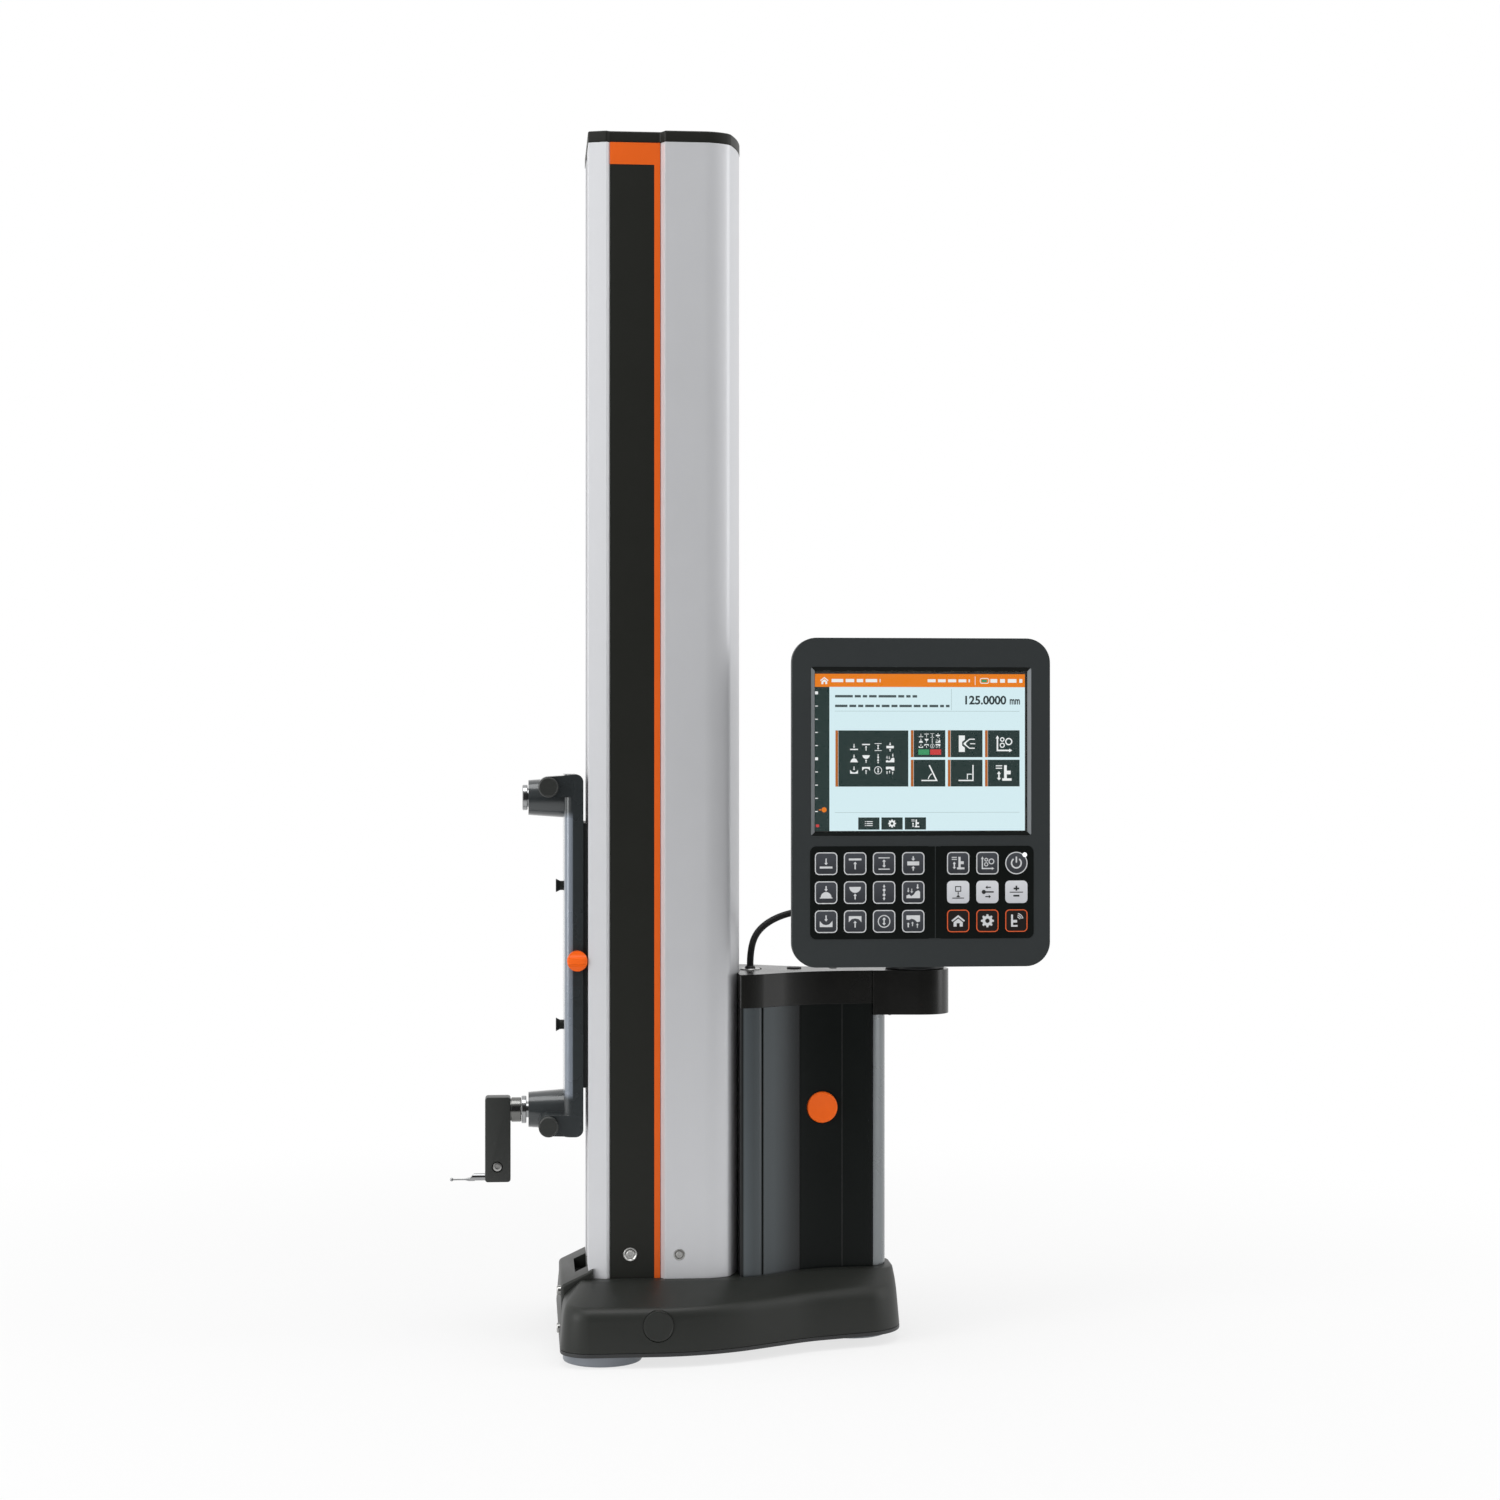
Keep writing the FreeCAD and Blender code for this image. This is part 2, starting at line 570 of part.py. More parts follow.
def column_strips():
    height = d.base_top_height + d.cover_screw_height
    block_bottom = column_top - d.trim_block_height
    for side, facing, word in ((RIGHT, "-y", "right"), (LEFT, "+y", "left")):
        def band(name, x, thickness, z):
            near, far = side * d.bed_half, side * (d.bed_half + thickness)
            return box(name, x, (far, near) if side == RIGHT else (near, far), z)

        front = d.strip_clearance - d.bed_front
        strip = band("label_form", (front, -d.label_rear), d.label_thickness, (d.base_top_height, block_bottom))
        hole = rod("label_hole", d.label_screw_radius + d.strip_clearance,
                   (-d.label_screw_x, side * (d.bed_half - PAST), height), d.label_thickness + 2 * PAST, facing)
        node("label_strip_" + word, cut("label_strip_" + word, strip, [hole]))
        rear = 0 - d.bed_rear - d.strip_clearance
        stripe = band("trim_stripe", (-d.label_rear, rear), d.trim_thickness, (d.base_top_height, column_top))
        block = band("trim_block", (front, rear), d.trim_thickness, (block_bottom, column_top))
        node("trim_strip_" + word, fuse("trim_strip_" + word, [stripe, block]))


def cover_screws():
    height = d.base_top_height + d.cover_screw_height
    screws = []
    for side, facing in ((RIGHT, "-y"), (LEFT, "+y")):
        for x, seat, radius in cover_screw_places():
            stem = seat - core_half + d.cover_screw_grip
            screws.append(turned("cover_screw", [
                (0, -stem), (d.cover_screw_stem, -stem), (d.cover_screw_stem, 0),
                (radius, 0), (radius, d.cover_screw_head), (0, d.cover_screw_head),
            ], (x, side * seat, height), facing))
    node("cover_screws", group("cover_screws", screws))


def column_outline(over):
    """The covers' joint outline, standing proud of them by over."""
    return mirrored([
        (0 - d.column_front - over, -over / 2 - d.facet_front_half),
        (-d.facet_rear, 0 - d.facet_rear_half - over), (-d.bed_front, 0 - d.bed_half - over),
        (-d.bed_rear, 0 - d.bed_half - over), (-d.flat_start, 0 - d.side_half - over),
        (d.shoulder_x, 0 - d.side_half - over, d.shoulder_round),
        (d.hip_x + over * 0.7, 0 - d.hip_half - over * 0.7, d.hip_round),
        (d.column_back + over, -d.spine_half, d.spine_round),
    ])


def column_cap():
    node("column_cap", prism("column_cap", "XY", [column_outline(d.cap_overhang)],
                             column_top, column_top + d.cap_thickness))


def column_core():
    wall = d.core_wall
    outline = mirrored([
        (0 - d.core_web_x, wall - core_half), (-d.core_front, wall - core_half),
        (-d.core_front, -core_half), (d.core_back, -core_half),
    ])
    hollow = rectangle((wall - d.core_web_x, d.core_back - wall), (wall - core_half, core_half - wall))
    form = prism("core_form", "XY", [outline, hollow], d.base_top_height, column_top)
    web = (0 - d.core_web_x - PAST, wall - d.core_web_x + PAST)
    inside = (wall - core_half, core_half - wall)
    tools = [
        box("drive_window", web, inside, (d.base_top_height - PAST, window_bottom)),
        box("pulley_window", web, inside, (window_top, column_top + PAST)),
        rod("axle_bore", d.top_shaft_radius + d.shaft_fit, (-d.pulley_x, 0 - core_half - PAST, top_pulley_z),
            2 * (core_half + PAST), "+y"),
    ]
    height = d.base_top_height + d.cover_screw_height
    for side, facing in ((RIGHT, "-y"), (LEFT, "+y")):
        for x, _, _ in cover_screw_places():
            tools.append(rod("core_bore", d.cover_screw_stem + d.shaft_fit,
                             (x, side * (core_half - wall - PAST), height), wall + 2 * PAST, facing))
    node("column_core", cut("column_core", form, tools))


def rail_and_scale():
    node("guide_rail", box("guide_rail", (rail_front, web_front),
                           (-d.rail_half_width, d.rail_half_width), (window_bottom, window_top)))
    node("linear_scale", box("linear_scale", (web_front - d.scale_thickness, web_front),
                             (d.scale_inner, d.scale_outer), (window_bottom, window_top)))


def stadium(name, radius, half_width):
    """The round-ended block about both pulley axes."""
    ends = [rod(name + "_end", radius, (-d.pulley_x, -half_width, z), 2 * half_width, "+y")
            for z in (drive_pulley_z, top_pulley_z)]
    middle = box(name + "_middle", (-d.pulley_x - radius, radius - d.pulley_x),
                 (-half_width, half_width), (drive_pulley_z, top_pulley_z))
    return fuse(name, [middle, *ends])


def drive():
    loop = cut("drive_belt", stadium("belt_outside", belt_outer, d.belt_half_width),
               [stadium("belt_inside", belt_inner, d.belt_half_width + PAST)])
    node("drive_belt", loop)
    motor_end = core_half - d.core_wall
    barrel = rod("motor_barrel", d.motor_radius, (-d.pulley_x, d.motor_front, drive_pulley_z),
                 motor_end - d.motor_front, "+y")
    bore = rod("motor_bore", d.drive_shaft_radius + d.shaft_fit,
               (-d.pulley_x, d.motor_front - PAST, drive_pulley_z), d.drive_shaft_length, "+y")
    node("drive_motor", cut("drive_motor", barrel, [bore]))


def pulley_disc(name, z):
    rim, flange = d.pulley_half_width, d.pulley_half_width + d.flange_thickness
    return turned(name, [
        (0, -flange), (d.flange_radius, -flange), (d.flange_radius, -rim), (d.pulley_radius, -rim),
        (d.pulley_radius, rim), (d.flange_radius, rim), (d.flange_radius, flange), (0, flange),
    ], (-d.pulley_x, 0, z), "+y")


def pulleys():
    axle = rod("top_axle", d.top_shaft_radius, (-d.pulley_x, -core_half, top_pulley_z), 2 * core_half, "+y")
    node("top_pulley", fuse("top_pulley", [pulley_disc("top_disc", top_pulley_z), axle]))
    shaft = rod("drive_shaft", d.drive_shaft_radius, (-d.pulley_x, 0, drive_pulley_z),
                d.drive_shaft_length, "+y")
    node("drive_pulley", fuse("drive_pulley", [pulley_disc("drive_disc", drive_pulley_z), shaft]))


def belt_slot(name, side_x, z):
    """A channel that clears the belt's straight run on one side of the pulleys."""
    middle = side_x * (belt_inner + belt_outer) / 2 - d.pulley_x
    half = d.belt_thickness / 2 + d.belt_slot_gap
    width = d.belt_half_width + d.belt_slot_gap
    return box(name, (middle - half, middle + half), (-width, width), z)


def counterweight():
    top = column_top - d.weight_drop
    bottom = top - d.weight_length
    block = box("weight_block", (-d.weight_front, d.weight_back), (-d.weight_half_width, d.weight_half_width),
                (bottom, top))
    slot = belt_slot("weight_slot", 1, (bottom - PAST, top + PAST))
    node("counterweight", cut("counterweight", block, [slot]))


# Slider


def carriage():
    low, high = d.slider_center - d.carriage_half_length, d.slider_center + d.carriage_half_length
    plate = box("carriage_plate", (-d.carriage_front, d.carriage_plate - d.carriage_front),
                (-d.carriage_half_width, d.carriage_half_width), (low, high))
    neck = box("carriage_neck", (slider_face, -d.carriage_front), (-d.neck_half_width, d.neck_half_width),
               (low, high))
    solid = fuse("carriage_solid", [plate, neck])
    node("carriage", cut("carriage", solid, [belt_slot("carriage_slot", -1, (low - PAST, high + PAST))]))
    plate_back = d.carriage_plate - d.carriage_front
    blocks = []
    for start in (low, high - d.guide_block_length):
        end = start + d.guide_block_length
        body = box("guide_block_form", (plate_back, -d.guide_block_rear),
                   (-d.guide_block_half_width, d.guide_block_half_width), (start, end))
        channel = d.rail_half_width + d.running_gap
        groove = box("guide_groove", (rail_front - d.running_gap, PAST - d.guide_block_rear), (-channel, channel),
                     (start - PAST, end + PAST))
        blocks.append(cut("guide_block", body, [groove]))
    node("guide_blocks", group("guide_blocks", blocks))
    node("encoder_head", box(
        "encoder_head", (plate_back, web_front - d.scale_thickness - d.scale_gap),
        (d.encoder_inner, d.encoder_outer),
        (d.slider_center - d.encoder_half_length, d.slider_center + d.encoder_half_length)))


def arm(name, z):
    return cone(name, d.arm_root_radius, d.arm_tip_radius, (-d.arm_root, 0, z), d.arm_tip - d.arm_root, "-x")


def clamp_heights():
    return {"upper": upper_arm_z + d.upper_clamp_offset, "lower": lower_arm_z - d.lower_clamp_offset}


def clamp_lugs():
    """The round-ended lugs beside the arms, flush with the bar's side, that the clamp screws go through."""
    margin, round_end = d.clamp_lug_margin, d.clamp_lug_margin - d.strip_clearance
    tip = -d.clamp_x - margin
    lugs = []
    for side, height in zip((1, -1), clamp_heights().values()):
        near, far = height - side * margin, height + side * margin
        end = d.slider_center + side * (d.bar_half_length - d.bar_end_gap)
        lugs.append(prism("clamp_lug", "XZ", [[
            (tip, near, round_end), (tip, far, round_end), (-d.clamp_lug_root, end), (-d.clamp_lug_root, near),
        ]], -d.bar_half_width, d.clamp_lug_rear))
    return lugs


def slider_frame():
    low, high = d.slider_center - d.bar_half_length, d.slider_center + d.bar_half_length
    section = prism("bar_section", "XY", [[
        (bar_face, -d.bar_half_width, d.bar_front_round), (plate_face, -d.bar_half_width),
        (plate_face, d.bar_half_width), (bar_face, d.bar_half_width, d.bar_front_round),
    ]], low, high)
    side = prism("bar_side", "XZ", [[
        (bar_face - PAST, low), (plate_face, low, d.bar_rear_round), (plate_face, high, d.bar_rear_round),
        (bar_face - PAST, high),
    ]], 0 - d.bar_half_width - PAST, d.bar_half_width + PAST)
    parts = [common("bar", [section, side])]
    bores = []
    for z in (upper_arm_z, lower_arm_z):
        parts.append(arm("arm", z))
        bores.append(rod("socket_bore", d.socket_radius, (-d.socket_end, 0, z), d.arm_tip, "-x"))
    parts += clamp_lugs()
    for z in clamp_heights().values():
        bores.append(rod("clamp_bore", d.clamp_screw_radius + d.shaft_fit,
                         (-d.clamp_x, 0 - d.bar_half_width - PAST, z),
                         d.bar_half_width + d.clamp_screw_reach + PAST, "+y"))
    for z in peg_heights():
        bores.append(rod("peg_bore", d.peg_neck_radius, (bar_face + d.peg_sink, 0, z), d.peg_sink + PAST, "-x"))
    bores.append(rod("lock_bore", d.lock_screw_radius + d.shaft_fit,
                     (-d.lock_knob_x, 0 - d.bar_half_width - PAST, lock_z),
                     d.lock_screw_length + 2 * PAST, "+y"))
    node("slider_frame", cut("slider_frame", fuse("slider_solid", parts), bores))
    node("slider_back_plate", box(
        "slider_back_plate", (plate_face, slider_face), (-d.back_plate_half_width, d.back_plate_half_width),
        (d.slider_center - d.back_plate_half_length, d.slider_center + d.back_plate_half_length)))


def peg_heights():
    return [d.slider_center - d.peg_drop + sign * d.peg_spacing / 2 for sign in (-1, 1)]


def slider_pegs():
    pegs = [turned("slider_peg", [
        (0, -d.peg_sink), (d.peg_neck_radius, -d.peg_sink),
        (d.peg_neck_radius, d.peg_length - d.peg_flare), (d.peg_head_radius, d.peg_length), (0, d.peg_length),
    ], (bar_face, 0, z), "-x") for z in peg_heights()]
    node("slider_pegs", group("slider_pegs", pegs))


def socket_ring(name, z, tip, back, radius, neck):
    form = turned(name + "_form", [
        (d.socket_radius, d.arm_tip), (neck, d.arm_tip), (neck, back), (radius, back),
        (radius, tip), (d.socket_radius, tip),
    ], (0, 0, z), "-x")
    node(name, form)


def knob(name, at, radius, length, edge, screw_radius, screw_length):
    """A round knob facing the right side, with its screw behind it."""
    return node(name, turned(name, [
        (0, -screw_length), (screw_radius, -screw_length), (screw_radius, 0), (radius, 0),
        (radius, length, edge), (0, length),
    ], at, "-y"))


def knobs():
    for word, z in clamp_heights().items():
        seat = -d.bar_half_width - d.running_gap
        knob(word + "_clamp_knob", (-d.clamp_x, seat, z), d.clamp_knob_radius, d.clamp_knob_length, d.knob_edge,
             d.clamp_screw_radius, d.bar_half_width + d.clamp_screw_reach - PAST)
    knob("lock_knob", (-d.lock_knob_x, -d.bar_half_width - d.running_gap, lock_z), d.lock_knob_radius,
         d.lock_knob_length, d.lock_knob_round, d.lock_screw_radius, d.lock_screw_length)


# Probe


def probe_holder():
    bar = prism("holder_bar", "XZ", [
        rectangle((-d.holder_front, -d.holder_rear), (d.holder_bottom, d.holder_top), d.holder_round)],
        -d.holder_half_depth, d.holder_half_depth)
    collar_length = d.holder_rear - d.lower_ring_tip - d.running_gap
    collar = rod("holder_collar", d.collar_radius, (-d.holder_rear, 0, lower_arm_z), collar_length, "+x")
    stem = rod("holder_stem", d.socket_radius - d.shaft_fit, (-d.holder_rear, 0, lower_arm_z),
               d.holder_rear - d.stem_end, "+x")
    bores = [
        rod("shank_bore", d.shank_radius + d.shaft_fit / 2, (PAST - d.shank_root, 0, d.shank_z),
            d.holder_front, "-x"),
        rod("holder_sink", d.holder_screw_radius + d.strip_clearance,
            (-d.holder_screw_x, d.holder_screw_head - d.holder_half_depth, d.holder_screw_z),
            d.holder_screw_head + PAST, "-y"),
        rod("holder_bore", d.holder_screw_stem + d.shaft_fit,
            (-d.holder_screw_x, d.holder_screw_head - d.holder_half_depth, d.holder_screw_z),
            d.holder_screw_length, "+y"),
    ]
    node("probe_holder", cut("probe_holder", fuse("holder_solid", [bar, collar, stem]), bores))


def holder_screw():
    node("holder_screw", turned("holder_screw", [
        (0, PAST - d.holder_screw_length), (d.holder_screw_stem, PAST - d.holder_screw_length),
        (d.holder_screw_stem, 0),
        (d.holder_screw_radius, 0), (d.holder_screw_radius, d.holder_screw_head), (0, d.holder_screw_head),
    ], (-d.holder_screw_x, d.holder_screw_head - d.holder_half_depth, d.holder_screw_z), "-y"))


def stylus():
    shank = rod("stylus_shank", d.shank_radius, (-d.shank_root, 0, d.shank_z), d.shank_tip - d.shank_root, "-x")
    taper = cone("stylus_taper", d.taper_radius, d.stylus_radius, (-d.shank_tip, 0, d.ball_z),
                 d.taper_tip - d.shank_tip, "-x")
    wire = rod("stylus_wire", d.stylus_radius, (-d.taper_tip, 0, d.ball_z), d.ball_x - d.taper_tip, "-x")
    ball = doc.addObject("Part::Sphere", "stylus_ball")
    bind(ball, "Radius", d.ball_radius)
    place(ball, (-d.ball_x, 0, d.ball_z))
    node("stylus", fuse("stylus", [shank, taper, wire, ball]))


# Grip


def grip_outline(inset):
    return mirrored([
        (d.grip_front + inset, inset - d.grip_front_half, d.grip_front_round - inset / 2),
        (d.grip_waist_x - inset * 0.37, inset * 0.94 - d.grip_waist_half, d.grip_waist_round - inset),
        (d.grip_neck_x - inset * 0.3, inset - d.grip_neck_half, d.grip_neck_round + inset),
        (d.grip_rear - inset, inset - d.grip_neck_half, d.grip_rear_round - inset),
    ])


def column_room(name):
    """The room that the grip's pieces leave for the column's back."""
    return prism(name, "XY", [column_outline(d.running_gap)], d.base_top_height - PAST, d.head_top + PAST)


def grip_shells():
    shell = prism("grip_shell", "XY", [grip_outline(as_size(0)), grip_outline(d.grip_wall)],
                  d.base_top_height, d.head_bottom)
    wide = (0 - d.grip_front_half - PAST, d.grip_front_half + PAST)
    tall = (d.base_top_height - PAST, d.head_bottom + PAST)
    front = common("front_shell_form", [
        shell, box("front_range", (d.grip_front - PAST, d.panel_front - d.panel_seam), wide, tall)])
    web = box("shell_web", (d.grip_front, d.column_back + d.running_gap + d.grip_wall),
              (-d.shell_web_half, d.shell_web_half), (d.base_top_height, d.head_bottom))
    node("grip_front_shell", cut("grip_front_shell", fuse("front_shell_solid", [front, web]),
                                 [column_room("shell_column_room")]))
    panel = (d.panel_front, d.panel_rear - d.panel_seam)
    right = common("panel_right_form", [shell, box("right_range", panel, (wide[0], as_size(0)), tall)])
    hole = rod("button_hole", d.button_radius + d.running_gap, (d.button_x, 0, d.button_z),
               d.grip_front_half, "-y")
    node("grip_panel_right", cut("grip_panel_right", right, [hole]))
    node("grip_panel_left", common("grip_panel_left", [
        shell, box("left_range", panel, (as_size(0), wide[1]), tall)]))
    node("grip_rear_cap", common("grip_rear_cap", [
        shell, box("rear_range", (d.panel_rear, d.grip_rear + PAST), wide, (tall[0], d.head_tail_bottom))]))


def grip_frame():
    outer = rectangle((d.frame_front, d.frame_rear), (-d.frame_half_width, d.frame_half_width))
    wall = d.frame_wall
    inner = rectangle((d.frame_front + wall, d.frame_rear - wall),
                      (wall - d.frame_half_width, d.frame_half_width - wall))
    tube = prism("frame_tube", "XY", [outer, inner], d.base_top_height, d.head_top - d.grip_wall)
    hole = rod("stem_hole", d.button_stem_radius + d.running_gap, (d.button_x, 0, d.button_z),
               d.frame_half_width + PAST, "-y")
    node("grip_frame", cut("grip_frame", tube, [hole]))


def grip_head():
    upper = prism("head_upper", "XY", [grip_outline(as_size(0))], d.head_bottom, d.head_top)
    tail_front, inset = d.panel_rear, d.grip_wall
    tail = prism("head_tail", "XY", [mirrored([
        (tail_front, -d.grip_neck_half), (d.grip_rear, -d.grip_neck_half, d.grip_rear_round),
        (d.swivel_x, -d.head_tail_half, d.grip_rear_round),
        (d.head_rear, -d.head_tail_half, d.head_tail_half - PAST),
    ])], d.head_tail_bottom, d.head_top)
    ceiling = d.head_top - inset
    upper_room = prism("head_upper_room", "XY", [grip_outline(inset)], d.head_bottom - PAST, ceiling)
    tail_room = prism("head_tail_room", "XY", [mirrored([
        (tail_front + inset, inset - d.grip_neck_half), (d.grip_rear, inset - d.grip_neck_half, d.grip_rear_round),
        (d.swivel_x, inset - d.head_tail_half, d.grip_rear_round),
        (d.head_rear - inset, inset - d.head_tail_half, d.head_tail_half - inset - PAST),
    ])], d.head_tail_bottom + inset, ceiling)
    bore = rod("swivel_bore", d.swivel_stem_radius + d.shaft_fit, (d.swivel_x, 0, ceiling - PAST),
               inset + 2 * PAST)
    rooms = [upper_room, tail_room, bore, column_room("head_column_room")]
    node("grip_head", cut("grip_head", fuse("head_solid", [upper, tail]), rooms))


def grip_button():
    back = d.button_thickness - d.button_face
    node("grip_button", turned("grip_button", [
        (0, -d.button_stem_length), (d.button_stem_radius, -d.button_stem_length), (d.button_stem_radius, 0),
        (d.button_radius, 0), (d.button_radius, d.button_thickness, d.button_edge), (0, d.button_thickness),
    ], (d.button_x, back, d.button_z), "-y"))
    room = d.button_face - d.button_thickness - d.frame_half_width
    spring = prism("button_spring", "XZ", [
        circle_loop(d.button_x, d.button_z, d.spring_radius),
        circle_loop(d.button_x, d.button_z, d.spring_radius - d.spring_wire),
    ], back, back + room)
    node("button_spring", spring)


def circle_loop(x, y, radius):
    """A round outline as a square with its corners fully rounded, less a hair on each side."""
    return rectangle((x - radius, x + radius), (y - radius, y + radius), radius * 0.999)


def cable_gland():
    node("cable_gland", rod("cable_gland", d.gland_radius, (d.gland_x, 0, d.head_top), d.gland_height))


# Cable from the head to the bracket, its points chosen along the curve that it hangs in

CABLE_POINTS = [
    V(73.8, 0, 309.8), V(73.8, 0, 322.5), V(79.3, 0.4, 337.8), V(93.5, 1.2, 348.6),
    V(114, 2.2, 355), V(140, 3.2, 356.5), V(166, 4, 350), V(190, 4, 350),
]
ARC_SHARE = 0.45


def cable_path(points):
    """Straight runs joined by tangent arcs, each as large as its two runs allow."""
    edges, start, radii = [], points[0], []
    for before, spot, after in zip(points, points[1:], points[2:]):
        back, ahead = before - spot, after - spot
        reach = ARC_SHARE * min(back.Length, ahead.Length)
        half = back.getAngle(ahead) / 2
        radius = reach * math.tan(half)
        back.normalize()
        ahead.normalize()
        first, last = spot + back * reach, spot + ahead * reach
        bisector = (back + ahead).normalize()
        middle = spot + bisector * (radius / math.sin(half) - radius)
        edges += [Part.LineSegment(start, first).toShape(), Part.Arc(first, middle, last).toShape()]
        radii.append(radius)
        start = last
    edges.append(Part.LineSegment(start, points[-1]).toShape())
    return Part.Wire(edges), radii


def display_cable():
    path, radii = cable_path(CABLE_POINTS)
    start_run = CABLE_POINTS[1] - CABLE_POINTS[0]
    ring = Part.Circle(CABLE_POINTS[0], start_run, SIZES["cable_radius"]).toShape()
    tube = path.makePipeShell([Part.Wire([ring])], True, True)
    cable = doc.addObject("Part::Feature", "display_cable")
    cable.Shape = tube
    cable.Placement = FreeCAD.Placement()
    ideal = math.pi * SIZES["cable_radius"] ** 2 * path.Length
    print("cable radii", [round(radius, 1) for radius in radii], "length", round(path.Length, 1),
          "volume over ideal", round(tube.Volume / ideal, 4))
    node("display_cable", cable)


# Swivel, bracket and display


def swivel_base():
    disc_bottom = d.head_top + d.running_gap
    nut_top = d.head_top - d.grip_wall - d.running_gap
    low = nut_top - d.swivel_nut_height
    node("swivel_base", turned("swivel_base", [
        (0, low), (d.swivel_nut_radius, low), (d.swivel_nut_radius, nut_top), (d.swivel_stem_radius, nut_top),
        (d.swivel_stem_radius, disc_bottom), (d.disc_radius, disc_bottom),
        (d.disc_radius, disc_bottom + d.disc_thickness), (0, disc_bottom + d.disc_thickness),
    ], (d.swivel_x, 0, 0)))


def ear_ranges():
    half, ear = d.bracket_half_width, d.ear_thickness
    return [(d.swivel_x - half, d.swivel_x - half + ear), (d.swivel_x + half - ear, d.swivel_x + half)]


def display_bracket():
    bottom = d.head_top + d.running_gap + d.disc_thickness
    wide = (d.swivel_x - d.bracket_half_width, d.swivel_x + d.bracket_half_width)
    foot = box("bracket_foot", (d.swivel_x - d.bracket_foot_half, d.swivel_x + d.bracket_foot_half),
               (-d.bracket_foot_depth, d.bracket_foot_depth), (bottom, bottom + d.bracket_foot))
    upright = box("bracket_upright", wide, (-d.upright_front, d.upright_rear), (bottom, d.upright_top))
    parts = [foot, upright]
    for low, high in ear_ranges():
        parts.append(rod("ear_round", d.ear_radius, (low, -d.tilt_y, d.tilt_z), d.ear_thickness, "+x"))
        parts.append(box("ear_arm", (low, high), (-d.tilt_y, d.upright_rear),
                         (d.tilt_z - d.ear_radius, d.tilt_z + d.ear_radius)))
    parts.append(rod("cable_inlet", d.inlet_radius, (wide[0] - d.inlet_length, d.inlet_y, d.inlet_z),
                     d.inlet_length + PAST, "+x"))
    bore = rod("pin_bore", d.pin_radius, (wide[0] - PAST, -d.tilt_y, d.tilt_z),
               2 * (d.bracket_half_width + PAST), "+x")
    node("display_bracket", cut("display_bracket", fuse("bracket_solid", parts), [bore]))
    node("tilt_pin", rod("tilt_pin", d.pin_radius, (wide[0] - d.pin_overhang, -d.tilt_y, d.tilt_z),
                         2 * (d.bracket_half_width + d.pin_overhang), "+x"))


def display_outline(inset):
    return rectangle(
        (display_side + inset, display_side + d.display_width - inset),
        (d.display_bottom + inset, display_top - inset), d.display_round - inset)


def window_range():
    x = (display_side + d.window_side, display_side + d.display_width - d.window_side)
    return x, (d.display_bottom + d.keys_top + d.window_gap, display_top - d.window_head)


def key_ranges():
    z = (d.display_bottom + d.keys_bottom, d.display_bottom + d.keys_top)
    split = display_side + d.left_keys_end
    return {
        "key_sheet_left": ((display_side + d.left_keys_start, split), z),
        "key_sheet_right": ((split + d.keys_split, display_side + d.display_width - d.right_keys_side), z),
    }


def display_front():
    outer = prism("bezel_form", "XZ", [display_outline(as_size(0))], -d.display_front, -d.display_split)
    room = prism("bezel_room", "XZ", [display_outline(d.bezel_rim)],
                 d.display_wall - d.display_front, PAST - d.display_split)
    x, z = window_range()
    window = prism("bezel_window", "XZ", [rectangle(x, z, d.keys_round / 2)],
                   0 - d.display_front - PAST, d.display_wall - d.display_front + PAST)
    sinks = [prism(name + "_sink", "XZ", [rectangle(*ranges, d.keys_round)],
                   0 - d.display_front - PAST, d.keys_sink - d.display_front)
             for name, ranges in key_ranges().items()]
    node("display_bezel", cut("display_bezel", outer, [room, window, *sinks]))
    for name, ranges in key_ranges().items():
        face = d.keys_sink - d.display_front
        node(name, prism(name, "XZ", [rectangle(*ranges, d.keys_round)], face - d.keys_thickness, face))


def screen():
    x, z = window_range()
    gap = d.strip_clearance
    glass_front = d.glass_setback - d.display_front
    glass_back = glass_front + d.glass_thickness
    node("screen_glass", prism("screen_glass", "XZ", [
        rectangle((x[0] + gap, x[1] - gap), (z[0] + gap, z[1] - gap), d.keys_round / 2)], glass_front, glass_back))
    margin = d.lcd_margin
    node("lcd_module", box("lcd_module", (x[0] - margin, x[1] + margin),
                           (glass_back, glass_back + d.lcd_thickness), (z[0] - margin, z[1] + margin)))


def post_places():
    inset = d.post_inset
    x = (display_side + inset, display_side + d.display_width - inset)
    z = (d.display_bottom + inset, display_top - inset)
    return [(across, up) for across in x for up in z]


